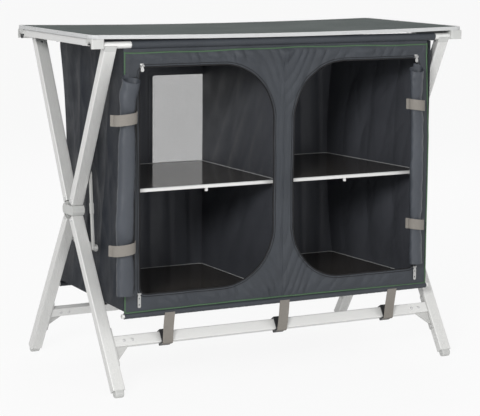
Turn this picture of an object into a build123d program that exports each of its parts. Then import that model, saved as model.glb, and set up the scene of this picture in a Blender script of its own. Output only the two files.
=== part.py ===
"""Folding camping cupboard: four hinged leg frames on two side hubs, a lift-off worktop, and a
cloth cabinet with two compartments, four loose shelves and two rolled doors.

Millimetres. +X is the right-hand side seen from the front, +Y the back, +Z up. The origin is on the
floor, midway between the feet.
"""
from build123d import *
from math import atan2, cos, degrees, hypot, sin
import os

os.makedirs("parts", exist_ok=True)

# Overall sizes
worktop_width = 1000.0
worktop_depth = 440.0
worktop_height = 820.0

# Legs: rectangular tube with fine lengthwise grooves
leg_width = 30.0
leg_depth = 20.0
leg_wall = 1.5
leg_corner = 2.5
leg_inset = 52.0
groove_width = 1.4
groove_depth = 0.5
groove_pitch = 4.6
groove_count = 4
leg_tail = 5.0

# Leg frames: where the top tubes and the feet stand, and the hub between them
top_tube_inset = 12.0
top_tube_drop = 24.0
foot_y = 252.0
hub_z = 397.0
hub_half_height = 11.5
hub_half_depth = 31.0
hub_edge_depth = 26.5
hub_face_half_height = 4.0
hub_fillet = 1.5
pivot_y = 18.0
pivot_rise = 22.0

# Hub lugs and the rivets that the legs turn on
lug_half_width = 11.0
lug_half_depth = 4.0
lug_root = 1.0
rivet_radius = 2.5
rivet_head_radius = 4.5
rivet_head_height = 1.5
running_gap = 0.05
cut_margin = 1.0

# Top tubes
tube_radius = 8.0
tube_wall = 1.2
tube_end_inset = 10.0
cap_thickness = 2.0
cap_spigot = 12.0

# Moulded heads that carry the top tubes on the legs
head_web = 3.0
head_plug = 26.0
plug_gap = 0.1
screw_radius = 1.8
screw_head_radius = 3.6
screw_head_height = 1.6
head_screw_drop = 24.0
head_screw_depth = 9.0

# Feet
foot_radius = 9.0
foot_wear = 0.7
foot_plug = 30.0
foot_collar = 5.5
foot_side_inset = 4.0
foot_round = 3.0

# Bottom bars, their end brackets and fasteners
bar_height = 26.0
bar_depth = 14.0
bar_wall = 1.5
bar_corner = 2.0
bar_reach = 312.0
flange_thickness = 2.5
flange_width = 16.0
flange_above = 34.0
flange_below = 58.0
tongue_length = 70.0
web_thickness = 3.0
web_run = 34.0
web_drop = 30.0
web_toe = 3.0
web_root = 1.0
flange_corner = 4.0
bar_rivet_inset = 24.0
bar_rivet_pitch = 21.0
bar_rivet_radius = 2.2
bar_rivet_head = 3.8
bracket_screw_above = 26.0
bracket_screw_below = 50.0

# Worktop
board_inset = 0.6
worktop_sag = 5.5
slab_margin = 20.0
trim_height = 8.5
trim_width = 6.0
worktop_corner = 18.0

# Side rails and their hook connectors
rail_inset = 15.0
rail_width = 16.0
rail_height = 17.0
rail_wall = 1.5
rail_corner = 2.0
connector_inner_inset = 34.0
connector_outer_inset = 3.0
connector_front_wall = 5.6
connector_roof_reach = 20.0
connector_drop = 7.0
connector_lip_rise = 4.0
connector_fillet = 4.0
hook_gap = 0.4
rail_spigot = 20.0
rail_screw_pitch = 150.0
rail_screw_radius = 1.5
rail_screw_head = 3.5
rail_screw_bite = 4.0

# Cloth cabinet
cloth = 1.6
cloth_gap = 0.3
cabinet_leg_gap = 19.0
back_taper_top = 22.0
back_taper_middle = 40.0
back_taper_bottom = 17.0
cabinet_floor_z = 186.0
cabinet_waist_z = 490.0
cabinet_top_drop = 10.4
base_thickness = 2.0
sleeve_inset = 4.5
sleeve_shift = 12.5
sleeve_wall = 1.2
hem_tube_radius = 5.0
hem_tube_wall = 1.0
hem_tube_z = 176.0
hem_tube_overhang = 6.0
hem_cloth = 1.6

# Door openings in the front panel
opening_inner_x = 28.0
opening_side_margin = 39.0
opening_bottom_z = 224.0
opening_top_margin = 41.6
opening_inner_radius = 135.0
opening_outer_radius = 16.0

# Mesh window in the back panel
window_half_width = 142.0
window_bottom_z = 440.0
window_top_margin = 99.6
window_corner = 10.0
mesh_thickness = 0.6

# Shelves
shelf_thickness = 7.5
mid_shelf_top_z = 464.0
shelf_front_y = -186.0
shelf_back_gap = 0.4
shelf_side_gap = 0.5
shelf_draft = 1.2
shelf_corner = 12.0
shelf_stud_radius = 4.0
shelf_stud_height = 8.0
shelf_stud_inset = 6.0
shelf_stud_share = 0.46

# Rolled doors
roll_top_drop = 11.0
left_roll_bottom_z = 230.0
right_roll_bottom_z = 238.0
left_roll_half_width = 29.0
right_roll_half_width = 21.0
roll_flatness = 0.7
roll_gap = 1.1
roll_mouth = 14.0
roll_cloth = 3.0
left_roll_overhang_top = 9.0
left_roll_overhang_bottom = 15.0
right_roll_inset_top = 52.0
right_roll_inset_bottom = 43.0
roll_waist = 0.93
roll_belly = 1.05
band_top_drop = 101.0
band_bottom_z = 337.0
band_thickness = 1.4
band_height = 26.0

# Straps from the cabinet hem to the bottom bars
strap_width = 27.0
strap_thickness = 1.6
strap_side_gap = 0.5
strap_pitch = 305.0
strap_shift = 5.0
hook_clearance = 0.6
hook_lip_clearance = 1.8
hook_wall = 3.0
hook_lip = 8.0
strap_seam = 1.0

# Side stays
stay_thickness = 4.0
stay_link_width = 10.0
stay_arm_width = 16.0
stay_top_z = 490.0
stay_bottom_y = -69.0
stay_bottom_z = 313.0
stay_gap = 2.5
stay_plane_gap = 3.0
stud_z = 316.0
stud_radius = 4.0
stud_gap = 0.6
stay_mouth_lean = 16.0
stud_cap_radius = 6.5
stud_cap_thickness = 1.5
stay_rivet_radius = 2.5
stay_rivet_head_radius = 4.0
stay_rivet_head_height = 1.0
stay_sleeve_length = 26.0
stay_sleeve_wall = 1.4
stay_sleeve_drop = 84.0
stay_sleeve_corner = 3.0

# Zips
slider_width = 9.0
slider_height = 11.0
slider_thickness = 2.5
slider_corner = 2.0
slider_outset = 3.0
slider_low_rise = 2.0
slider_high_inset = 8.0
slider_high_rise = 4.0
cheek_width = 1.5
cheek_height = 5.0
cheek_margin = 0.6
puller_pin_radius = 1.0
puller_pin_lift = 2.4
puller_barrel_radius = 2.0
puller_thickness = 1.4
puller_width = 8.0
puller_corner = 3.5
puller_neck = 1.0
long_puller = 29.0
short_puller = 10.0
puller_side_gap = 0.3

# Sizes that follow from the ones above
half_width = worktop_width / 2
leg_centre_x = half_width - leg_inset
top_tube_y = worktop_depth / 2 - top_tube_inset
top_tube_z = worktop_height - top_tube_drop
cabinet_top_z = top_tube_z - cabinet_top_drop
opening_top_z = cabinet_top_z - opening_top_margin
window_top_z = cabinet_top_z - window_top_margin
roll_top_z = opening_top_z - roll_top_drop
band_top_z = roll_top_z - band_top_drop
tube_half_length = half_width - tube_end_inset
rail_centre_x = half_width - rail_inset
connector_inner_x = half_width - connector_inner_inset
connector_outer_x = half_width - connector_outer_inset
leg_inner_x = leg_centre_x - leg_width / 2
cabinet_front_half = leg_inner_x - cabinet_leg_gap
back_half_top = cabinet_front_half - back_taper_top
back_half_middle = cabinet_front_half - back_taper_middle
back_half_bottom = cabinet_front_half - back_taper_bottom
sleeve_half_length = cabinet_front_half - sleeve_inset
hem_tube_half_length = cabinet_front_half + hem_tube_overhang
opening_outer_x = cabinet_front_half - opening_side_margin
upper_pivot_z = hub_z + pivot_rise
lower_pivot_z = hub_z - pivot_rise
upper_lean = atan2(top_tube_y - pivot_y, top_tube_z - upper_pivot_z)
upper_reach = hypot(top_tube_y - pivot_y, top_tube_z - upper_pivot_z)
lower_lean = atan2(foot_y - pivot_y, lower_pivot_z - foot_radius)
lower_reach = hypot(foot_y - pivot_y, lower_pivot_z - foot_radius)
FRONT, BACK = -1, 1
LEFT, RIGHT = -1, 1
side_name = {LEFT: "left", RIGHT: "right"}
end_name = {FRONT: "front", BACK: "rear"}


def upper_plane(x, end):
    """Plane at an upper pivot whose normal runs up the leg."""
    direction = Vector(0, end * sin(upper_lean), cos(upper_lean))
    return Plane(origin=(x, end * pivot_y, upper_pivot_z), x_dir=(1, 0, 0), z_dir=direction)


def lower_plane(x, end):
    """Plane at a lower pivot whose normal runs down the leg."""
    direction = Vector(0, end * sin(lower_lean), -cos(lower_lean))
    return Plane(origin=(x, end * pivot_y, lower_pivot_z), x_dir=(1, 0, 0), z_dir=direction)


def cross_plane(plane, along, depth=0.0, x=0.0):
    """Plane facing +X whose origin lies `along` the leg and `depth` across it."""
    origin = plane.origin + plane.z_dir * along + plane.y_dir * depth + Vector(x, 0, 0)
    return Plane(origin=origin, x_dir=plane.z_dir, z_dir=(1, 0, 0))


def face_plane(plane, along, x, face):
    """Plane on the leg's depth side `face` (+1 or -1 of the plane's y), facing out of it."""
    origin = plane.origin + plane.z_dir * along + plane.y_dir * (face * leg_depth / 2) + Vector(x, 0, 0)
    return Plane(origin=origin, x_dir=(1, 0, 0), z_dir=plane.y_dir * face)


written = []


def write(part, name):
    """Label a finished piece and write its STEP file."""
    part.label = name
    export_step(part, f"parts/{name}.step")
    written.append(name)


def grooved_leg(plane, length, extra_holes=()):
    """Grooved rectangular tube that starts just behind its pivot; holes are (along, radius)."""
    with BuildPart() as leg:
        with BuildSketch(plane.offset(-leg_tail)):
            RectangleRounded(leg_width, leg_depth, leg_corner)
            with GridLocations(groove_pitch, leg_depth, groove_count, 2):
                Rectangle(groove_width, 2 * groove_depth, mode=Mode.SUBTRACT)
            RectangleRounded(leg_width - 2 * leg_wall, leg_depth - 2 * leg_wall, leg_corner - leg_wall,
                             mode=Mode.SUBTRACT)
        extrude(amount=leg_tail + length)
        with BuildSketch(cross_plane(plane, 0)):
            Circle(rivet_radius + running_gap)
        extrude(amount=leg_width, both=True, mode=Mode.SUBTRACT)
        for hole_plane, radius in extra_holes:
            with BuildSketch(hole_plane):
                Circle(radius)
            extrude(amount=-2 * leg_wall, mode=Mode.SUBTRACT)
            with BuildSketch(hole_plane):
                Circle(radius)
            extrude(amount=2 * leg_wall, mode=Mode.SUBTRACT)
    return leg.part


def rivet(plane, length, radius, head_radius, head_height):
    """Round rivet whose shank is centred on the plane and runs along its normal, with two heads."""
    with BuildPart() as pin:
        with BuildSketch(plane):
            Circle(radius)
        extrude(amount=length / 2, both=True)
        for turn in (1, -1):
            with BuildSketch(plane.offset(turn * length / 2)):
                Circle(head_radius)
            extrude(amount=turn * head_height)
        fillet(pin.edges().filter_by(GeomType.CIRCLE).group_by(Axis(plane.origin, plane.z_dir))[-1],
               head_height / 2)
        fillet(pin.edges().filter_by(GeomType.CIRCLE).group_by(Axis(plane.origin, plane.z_dir))[0],
               head_height / 2)
    return pin.part


def screw(plane, depth, radius, head_radius, head_height):
    """Pan-head screw seated on the plane, its shank going against the normal."""
    with BuildPart() as body:
        with BuildSketch(plane):
            Circle(radius)
        extrude(amount=-depth)
        with BuildSketch(plane):
            Circle(head_radius)
        extrude(amount=head_height)
        fillet(body.edges().filter_by(GeomType.CIRCLE).group_by(Axis(plane.origin, plane.z_dir))[-1],
               head_height / 2)
        with BuildSketch(plane.offset(head_height)):
            Rectangle(head_radius * 1.2, head_height / 2)
            Rectangle(head_height / 2, head_radius * 1.2)
        extrude(amount=-head_height / 2, mode=Mode.SUBTRACT)
    return body.part


# Hubs: moulded blocks with one lug for each leg
hubs = []
for side in (LEFT, RIGHT):
    with BuildPart() as hub:
        with BuildSketch(Plane(origin=(side * leg_centre_x, 0, hub_z), x_dir=(0, 1, 0), z_dir=(1, 0, 0))):
            with BuildLine():
                Polyline(
                    (-hub_edge_depth, -hub_half_height), (hub_edge_depth, -hub_half_height),
                    (hub_half_depth, -hub_face_half_height), (hub_half_depth, hub_face_half_height),
                    (hub_edge_depth, hub_half_height), (-hub_edge_depth, hub_half_height),
                    (-hub_half_depth, hub_face_half_height), (-hub_half_depth, -hub_face_half_height),
                    close=True,
                )
            make_face()
        extrude(amount=leg_width / 2, both=True)
        fillet(hub.edges().filter_by(Axis.X), hub_fillet)
        with BuildSketch(Plane(origin=(side * leg_centre_x, 0, hub_z), x_dir=(0, 1, 0), z_dir=(1, 0, 0))):
            for end in (FRONT, BACK):
                for rise in (-1, 1):
                    with Locations((end * pivot_y, rise * pivot_rise)):
                        Circle(lug_half_depth)
                    with Locations((end * pivot_y, rise * (pivot_rise + hub_half_height - lug_root) / 2)):
                        Rectangle(2 * lug_half_depth, pivot_rise - hub_half_height + lug_root)
        extrude(amount=lug_half_width, both=True)
        with BuildSketch(Plane(origin=(side * leg_centre_x, 0, hub_z), x_dir=(0, 1, 0), z_dir=(1, 0, 0))):
            with GridLocations(2 * pivot_y, 2 * pivot_rise, 2, 2):
                Circle(rivet_radius)
        extrude(amount=lug_half_width, both=True, mode=Mode.SUBTRACT)
    hubs.append(hub.part)
with BuildPart() as hub_blocks:
    add(hubs)
write(hub_blocks.part, "hub_blocks")

with BuildPart() as hub_rivets:
    for side in (LEFT, RIGHT):
        for end in (FRONT, BACK):
            for pivot_z in (upper_pivot_z, lower_pivot_z):
                pin_plane = Plane(origin=(side * leg_centre_x, end * pivot_y, pivot_z),
                                  x_dir=(0, 1, 0), z_dir=(1, 0, 0))
                add(rivet(pin_plane, leg_width + 2 * running_gap, rivet_radius, rivet_head_radius,
                          rivet_head_height))
write(hub_rivets.part, "hub_rivets")

# Upper frames: two legs, two moulded heads and a top tube each
stay_top_along = (stay_top_z - upper_pivot_z) / cos(upper_lean)
stay_top_y = -(pivot_y + stay_top_along * sin(upper_lean))
leg_end = upper_reach - tube_radius - head_web
for end in (FRONT, BACK):
    inner_face = -end
    for side in (LEFT, RIGHT):
        plane = upper_plane(side * leg_centre_x, end)
        holes = [(face_plane(plane, upper_reach - head_screw_drop, 0, inner_face), screw_radius)]
        if end == FRONT:
            stay_hole = Plane(origin=(side * leg_inner_x, stay_top_y, stay_top_z), x_dir=(0, 1, 0),
                              z_dir=(-side, 0, 0))
            holes.append((stay_hole, stay_rivet_radius + running_gap))
        write(grooved_leg(plane, leg_end, holes), f"upper_{end_name[end]}_leg_{side_name[side]}")

    with BuildPart() as heads:
        for side in (LEFT, RIGHT):
            plane = upper_plane(side * leg_centre_x, end)
            with BuildPart(mode=Mode.PRIVATE) as head:
                with BuildSketch(plane.offset(leg_end - head_plug)):
                    RectangleRounded(leg_width - 2 * leg_wall - 2 * plug_gap,
                                     leg_depth - 2 * leg_wall - 2 * plug_gap, leg_corner - leg_wall)
                extrude(amount=head_plug)
                with BuildSketch(plane.offset(leg_end)):
                    RectangleRounded(leg_width, leg_depth, leg_corner)
                extrude(amount=upper_reach - leg_end + tube_radius / 3)
                with BuildSketch(cross_plane(plane, upper_reach)):
                    Circle(tube_radius)
                extrude(amount=leg_width, both=True, mode=Mode.SUBTRACT)
                with BuildSketch(face_plane(plane, upper_reach - head_screw_drop, 0, inner_face)):
                    Circle(screw_radius)
                extrude(amount=-head_screw_depth, mode=Mode.SUBTRACT)
            add(head.part)
    write(heads.part, f"{end_name[end]}_leg_heads")

    with BuildPart() as head_screws:
        for side in (LEFT, RIGHT):
            plane = upper_plane(side * leg_centre_x, end)
            add(screw(face_plane(plane, upper_reach - head_screw_drop, 0, inner_face), head_screw_depth,
                      screw_radius, screw_head_radius, screw_head_height))
    write(head_screws.part, f"{end_name[end]}_head_screws")

    tube_plane = Plane(origin=(0, end * top_tube_y, top_tube_z), x_dir=(0, 1, 0), z_dir=(1, 0, 0))
    with BuildPart() as top_tube:
        with BuildSketch(tube_plane):
            Circle(tube_radius)
            Circle(tube_radius - tube_wall, mode=Mode.SUBTRACT)
        extrude(amount=tube_half_length, both=True)
    write(top_tube.part, f"{end_name[end]}_top_tube")

    with BuildPart() as tube_caps:
        for side in (LEFT, RIGHT):
            with BuildSketch(tube_plane.offset(side * tube_half_length)):
                Circle(tube_radius)
            extrude(amount=side * cap_thickness)
            with BuildSketch(tube_plane.offset(side * tube_half_length)):
                Circle(tube_radius - tube_wall)
            extrude(amount=-side * cap_spigot)
    write(tube_caps.part, f"{end_name[end]}_tube_caps")

    with BuildPart() as sleeve:
        with BuildSketch(tube_plane.offset(sleeve_shift)):
            Circle(tube_radius + cloth_gap + sleeve_wall)
            Circle(tube_radius + cloth_gap, mode=Mode.SUBTRACT)
        extrude(amount=sleeve_half_length, both=True)
    write(sleeve.part, f"{end_name[end]}_top_sleeve")

# Lower frames: two legs, two feet, a bottom bar and its end brackets each
stud_along = (lower_pivot_z - stud_z) / cos(lower_lean)
stud_y = pivot_y + stud_along * sin(lower_lean)
foot_end = lower_reach - foot_collar
bar_half_length = leg_inner_x - flange_thickness
for end in (FRONT, BACK):
    for side in (LEFT, RIGHT):
        plane = lower_plane(side * leg_centre_x, end)
        holes = []
        for shift in (-bracket_screw_above, bracket_screw_below):
            spot = plane.origin + plane.z_dir * (bar_reach + shift) + Vector(-side * leg_width / 2, 0, 0)
            holes.append((Plane(origin=spot, x_dir=plane.z_dir, z_dir=(-side, 0, 0)), screw_radius))
        if end == BACK:
            stud_hole = Plane(origin=(side * leg_inner_x, stud_y, stud_z), x_dir=(0, 1, 0),
                              z_dir=(-side, 0, 0))
            holes.append((stud_hole, stay_rivet_radius))
        write(grooved_leg(plane, foot_end, holes), f"lower_{end_name[end]}_leg_{side_name[side]}")

    with BuildPart() as feet:
        for side in (LEFT, RIGHT):
            plane = lower_plane(side * leg_centre_x, end)
            with BuildPart(mode=Mode.PRIVATE) as foot:
                with BuildSketch(plane.offset(foot_end - foot_plug)):
                    RectangleRounded(leg_width - 2 * leg_wall - 2 * plug_gap,
                                     leg_depth - 2 * leg_wall - 2 * plug_gap, leg_corner - leg_wall)
                extrude(amount=foot_plug)
                with BuildSketch(plane.offset(foot_end)):
                    RectangleRounded(leg_width - 2 * foot_side_inset, 2 * foot_radius, leg_corner)
                extrude(amount=foot_collar)
                with BuildPart(mode=Mode.PRIVATE) as toe:
                    with BuildSketch(cross_plane(plane, lower_reach)):
                        Circle(foot_radius + foot_wear)
                    extrude(amount=leg_width / 2 - foot_side_inset, both=True)
                    fillet(toe.edges().filter_by(GeomType.CIRCLE), foot_round)
                add(toe.part)
                split(bisect_by=Plane.XY, keep=Keep.TOP)
            add(foot.part)
    write(feet.part, f"{end_name[end]}_feet")

    bar_plane = lower_plane(0, end)
    with BuildPart() as bar:
        with BuildSketch(cross_plane(bar_plane, bar_reach)):
            RectangleRounded(bar_height, bar_depth, bar_corner)
            RectangleRounded(bar_height - 2 * bar_wall, bar_depth - 2 * bar_wall, bar_corner - bar_wall,
                             mode=Mode.SUBTRACT)
        extrude(amount=bar_half_length, both=True)
        for side in (LEFT, RIGHT):
            for step in (0, 1):
                x = side * (bar_half_length - bar_rivet_inset - step * bar_rivet_pitch)
                spot = bar_plane.origin + bar_plane.z_dir * bar_reach + Vector(x, 0, 0)
                with BuildSketch(Plane(origin=spot, x_dir=(1, 0, 0), z_dir=bar_plane.y_dir)):
                    Circle(bar_rivet_radius)
                extrude(amount=bar_depth, both=True, mode=Mode.SUBTRACT)
    write(bar.part, f"{end_name[end]}_bottom_bar")

    with BuildPart() as brackets:
        for side in (LEFT, RIGHT):
            centre = bar_plane.origin + bar_plane.z_dir * bar_reach
            seat = Plane(origin=centre + Vector(side * leg_inner_x, 0, 0), x_dir=bar_plane.z_dir,
                         z_dir=(-side, 0, 0))
            with BuildPart(mode=Mode.PRIVATE) as bracket:
                with BuildSketch(seat):
                    with Locations(((flange_below - flange_above) / 2, 0)):
                        RectangleRounded(flange_above + flange_below, flange_width, flange_corner)
                extrude(amount=flange_thickness)
                with BuildSketch(seat.offset(flange_thickness)):
                    RectangleRounded(bar_height - 2 * bar_wall - 2 * plug_gap,
                                     bar_depth - 2 * bar_wall - 2 * plug_gap, bar_corner - bar_wall)
                extrude(amount=tongue_length)
                web_plane = Plane(origin=centre + Vector(side * (leg_inner_x - flange_thickness), 0, 0),
                                  x_dir=(-side, 0, 0), z_dir=bar_plane.y_dir * (-side))
                down = 1 if (web_plane.y_dir.dot(bar_plane.z_dir) > 0) else -1
                web_top = bar_height / 2 + plug_gap
                with BuildSketch(web_plane):
                    with BuildLine():
                        Polyline((-web_root, down * web_top), (web_run, down * web_top),
                                 (web_toe, down * (web_top + web_drop)),
                                 (-web_root, down * (web_top + web_drop)), close=True)
                    make_face()
                extrude(amount=web_thickness / 2, both=True)
                for step in (0, 1):
                    x = side * (bar_half_length - bar_rivet_inset - step * bar_rivet_pitch)
                    with BuildSketch(Plane(origin=centre + Vector(x, 0, 0), x_dir=(1, 0, 0),
                                           z_dir=bar_plane.y_dir)):
                        Circle(bar_rivet_radius)
                    extrude(amount=bar_depth, both=True, mode=Mode.SUBTRACT)
                for shift in (-bracket_screw_above, bracket_screw_below):
                    with BuildSketch(seat):
                        with Locations((shift, 0)):
                            Circle(screw_radius)
                    extrude(amount=flange_thickness, mode=Mode.SUBTRACT)
            add(bracket.part)
    write(brackets.part, f"{end_name[end]}_bar_brackets")

    with BuildPart() as bar_screws:
        for side in (LEFT, RIGHT):
            centre = bar_plane.origin + bar_plane.z_dir * bar_reach
            for step in (0, 1):
                x = side * (bar_half_length - bar_rivet_inset - step * bar_rivet_pitch)
                add(rivet(Plane(origin=centre + Vector(x, 0, 0), x_dir=(1, 0, 0), z_dir=bar_plane.y_dir),
                          bar_depth, bar_rivet_radius, bar_rivet_head, rivet_head_height))
            for shift in (-bracket_screw_above, bracket_screw_below):
                spot = centre + bar_plane.z_dir * shift + Vector(side * bar_half_length, 0, 0)
                add(screw(Plane(origin=spot, x_dir=bar_plane.z_dir, z_dir=(-side, 0, 0)),
                          flange_thickness + leg_wall, screw_radius, screw_head_radius, screw_head_height))
    write(bar_screws.part, f"{end_name[end]}_bar_screws")

# Studs on the lower rear legs that the stay arms hook over
link_outer_x = leg_inner_x - stay_gap
link_inner_x = link_outer_x - stay_thickness
arm_outer_x = link_inner_x - stay_plane_gap
arm_inner_x = arm_outer_x - stay_thickness
with BuildPart() as studs:
    for side in (LEFT, RIGHT):
        base = Plane(origin=(side * leg_inner_x, stud_y, stud_z), x_dir=(0, 1, 0), z_dir=(-side, 0, 0))
        reach = leg_inner_x - arm_inner_x + plug_gap * 3
        with BuildSketch(base):
            Circle(stud_radius)
        extrude(amount=reach)
        with BuildSketch(base.offset(reach)):
            Circle(stud_cap_radius)
        extrude(amount=stud_cap_thickness)
        with BuildSketch(base):
            Circle(stay_rivet_radius)
        extrude(amount=-2 * leg_wall)
write(studs.part, "rear_stay_studs")

# Stays: a hanging link on each upper front leg, with a hook arm that drops over the rear stud
arm_length = hypot(stud_y - stay_bottom_y, stud_z - stay_bottom_z)
arm_rise = atan2(stud_z - stay_bottom_z, stud_y - stay_bottom_y)
link_length = hypot(stay_bottom_y - stay_top_y, stay_bottom_z - stay_top_z)
link_lean = atan2(stay_bottom_y - stay_top_y, stay_top_z - stay_bottom_z)
for side in (LEFT, RIGHT):
    link_plane = Plane(origin=(side * link_outer_x, stay_top_y, stay_top_z), x_dir=(0, 1, 0),
                       z_dir=(1, 0, 0))
    with BuildPart() as link:
        with BuildSketch(link_plane):
            with Locations(Location((0, 0, 0), (0, 0, degrees(link_lean) - 90))):
                with Locations((link_length / 2, 0)):
                    SlotCenterToCenter(link_length, stay_link_width)
                Circle(stay_rivet_radius, mode=Mode.SUBTRACT)
            with Locations((stay_bottom_y - stay_top_y, stay_bottom_z - stay_top_z)):
                Circle(stay_rivet_radius + running_gap, mode=Mode.SUBTRACT)
        extrude(amount=-side * stay_thickness)
        sleeve_y = stay_sleeve_drop * sin(link_lean)
        sleeve_z = -stay_sleeve_drop * cos(link_lean)
        sleeve_width = stay_link_width + 2 * stay_sleeve_wall
        with BuildSketch(link_plane.offset(side * stay_sleeve_wall / 2)):
            with Locations(Location((sleeve_y, sleeve_z, 0), (0, 0, degrees(link_lean)))):
                RectangleRounded(sleeve_width, stay_sleeve_length, stay_sleeve_corner)
        extrude(amount=-side * (stay_thickness + stay_sleeve_wall))
    with BuildPart() as link_set:
        add(link.part)
        pin_middle = side * (leg_inner_x + leg_wall + link_inner_x) / 2
        add(rivet(Plane(origin=(pin_middle, stay_top_y, stay_top_z), x_dir=(0, 1, 0), z_dir=(1, 0, 0)),
                  leg_inner_x + leg_wall - link_inner_x + 2 * running_gap, stay_rivet_radius,
                  stay_rivet_head_radius, stay_rivet_head_height))
    write(link_set.part, f"stay_link_{side_name[side]}")

    arm_plane = Plane(origin=(side * arm_outer_x, stay_bottom_y, stay_bottom_z), x_dir=(0, 1, 0),
                      z_dir=(1, 0, 0))
    with BuildPart() as arm:
        with BuildSketch(arm_plane):
            with Locations(Location((0, 0, 0), (0, 0, degrees(arm_rise)))):
                with Locations((arm_length / 2, 0)):
                    SlotCenterToCenter(arm_length, stay_arm_width)
                Circle(stay_rivet_radius, mode=Mode.SUBTRACT)
            with Locations(Location((arm_length * cos(arm_rise), arm_length * sin(arm_rise), 0),
                                    (0, 0, -90 - stay_mouth_lean))):
                with Locations((stay_arm_width / 2, 0)):
                    SlotCenterToCenter(stay_arm_width, 2 * (stud_radius + stud_gap), mode=Mode.SUBTRACT)
        extrude(amount=-side * stay_thickness)
        with BuildSketch(arm_plane):
            Circle(stay_rivet_radius * 2)
            Circle(stay_rivet_radius, mode=Mode.SUBTRACT)
        extrude(amount=side * (stay_plane_gap - 2 * running_gap))
    with BuildPart() as arm_set:
        add(arm.part)
        pin_middle = side * (link_outer_x + arm_inner_x) / 2
        add(rivet(Plane(origin=(pin_middle, stay_bottom_y, stay_bottom_z), x_dir=(0, 1, 0),
                        z_dir=(1, 0, 0)),
                  link_outer_x - arm_inner_x + 2 * running_gap, stay_rivet_radius,
                  stay_rivet_head_radius, stay_rivet_head_height))
    write(arm_set.part, f"stay_arm_{side_name[side]}")

# Worktop: board, edge trim, side rails with hook connectors
def sagged_slab(bottom, top):
    """Slab between two heights at the ends of the worktop, sagging evenly towards the middle."""
    reach = half_width + slab_margin
    end_rise = worktop_sag * ((reach / half_width) ** 2 - 1)
    with BuildPart(mode=Mode.PRIVATE) as slab:
        with BuildSketch(Plane.XZ):
            with BuildLine():
                high = ThreePointArc((-reach, top + end_rise), (0, top - worktop_sag),
                                     (reach, top + end_rise))
                low = ThreePointArc((-reach, bottom + end_rise), (0, bottom - worktop_sag),
                                    (reach, bottom + end_rise))
                Line(high @ 0, low @ 0)
                Line(high @ 1, low @ 1)
            make_face()
        extrude(amount=worktop_depth / 2 + slab_margin, both=True)
    return slab.part


board_top = worktop_height - board_inset
board_bottom = worktop_height - trim_height
with BuildPart() as board:
    with BuildSketch(Plane.XY.offset(board_bottom - 2 * worktop_sag)):
        RectangleRounded(worktop_width - 2 * trim_width, worktop_depth - 2 * trim_width,
                         worktop_corner - trim_width)
    extrude(amount=trim_height + 3 * worktop_sag)
    add(sagged_slab(board_bottom, board_top), mode=Mode.INTERSECT)

with BuildPart() as trim:
    with BuildSketch(Plane.XY.offset(board_bottom - 2 * worktop_sag)):
        RectangleRounded(worktop_width, worktop_depth, worktop_corner)
    extrude(amount=trim_height + 3 * worktop_sag)
    add(sagged_slab(board_bottom, worktop_height), mode=Mode.INTERSECT)
    with BuildSketch(Plane.XY.offset(board_bottom - 2 * worktop_sag)):
        RectangleRounded(worktop_width - 2 * trim_width, worktop_depth - 2 * trim_width,
                         worktop_corner - trim_width)
    extrude(amount=trim_height + 3 * worktop_sag, mode=Mode.SUBTRACT)
write(trim.part, "worktop_edge_trim")

rail_top = board_bottom - worktop_sag * (1 - (connector_inner_x / half_width) ** 2)
rail_bottom = rail_top - rail_height
connector_end = top_tube_y + tube_radius + hook_gap + connector_front_wall
connector_start = top_tube_y - connector_roof_reach
rail_screw_spots = [
    (side * rail_centre_x, step * rail_screw_pitch) for side in (LEFT, RIGHT) for step in (-1, 0, 1)
]
screw_seat = board_bottom - worktop_sag * (1 - (rail_centre_x / half_width) ** 2)
with BuildPart() as rails:
    for side in (LEFT, RIGHT):
        with BuildSketch(Plane(origin=(side * rail_centre_x, 0, rail_top - rail_height / 2),
                               x_dir=(1, 0, 0), z_dir=(0, 1, 0))):
            RectangleRounded(rail_width, rail_height, rail_corner)
            RectangleRounded(rail_width - 2 * rail_wall, rail_height - 2 * rail_wall,
                             rail_corner - rail_wall, mode=Mode.SUBTRACT)
        extrude(amount=connector_start, both=True)
    with BuildSketch(Plane.XY.offset(rail_bottom - cut_margin)):
        with Locations(*rail_screw_spots):
            Circle(rail_screw_radius)
    extrude(amount=rail_height + 2 * cut_margin, mode=Mode.SUBTRACT)
write(rails.part, "side_rails")

screw_length = screw_seat + rail_screw_bite - rail_bottom
with BuildPart() as rail_screws:
    for x, y in rail_screw_spots:
        add(screw(Plane(origin=(x, y, rail_bottom), x_dir=(1, 0, 0), z_dir=(0, 0, -1)), screw_length,
                  rail_screw_radius, rail_screw_head, screw_head_height))
write(rail_screws.part, "rail_screws")

with BuildPart() as board_drilled:
    add(board.part)
    with BuildSketch(Plane.XY.offset(rail_bottom)):
        with Locations(*rail_screw_spots):
            Circle(rail_screw_radius)
    extrude(amount=screw_length, mode=Mode.SUBTRACT)
write(board_drilled.part, "worktop_panel")

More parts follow.
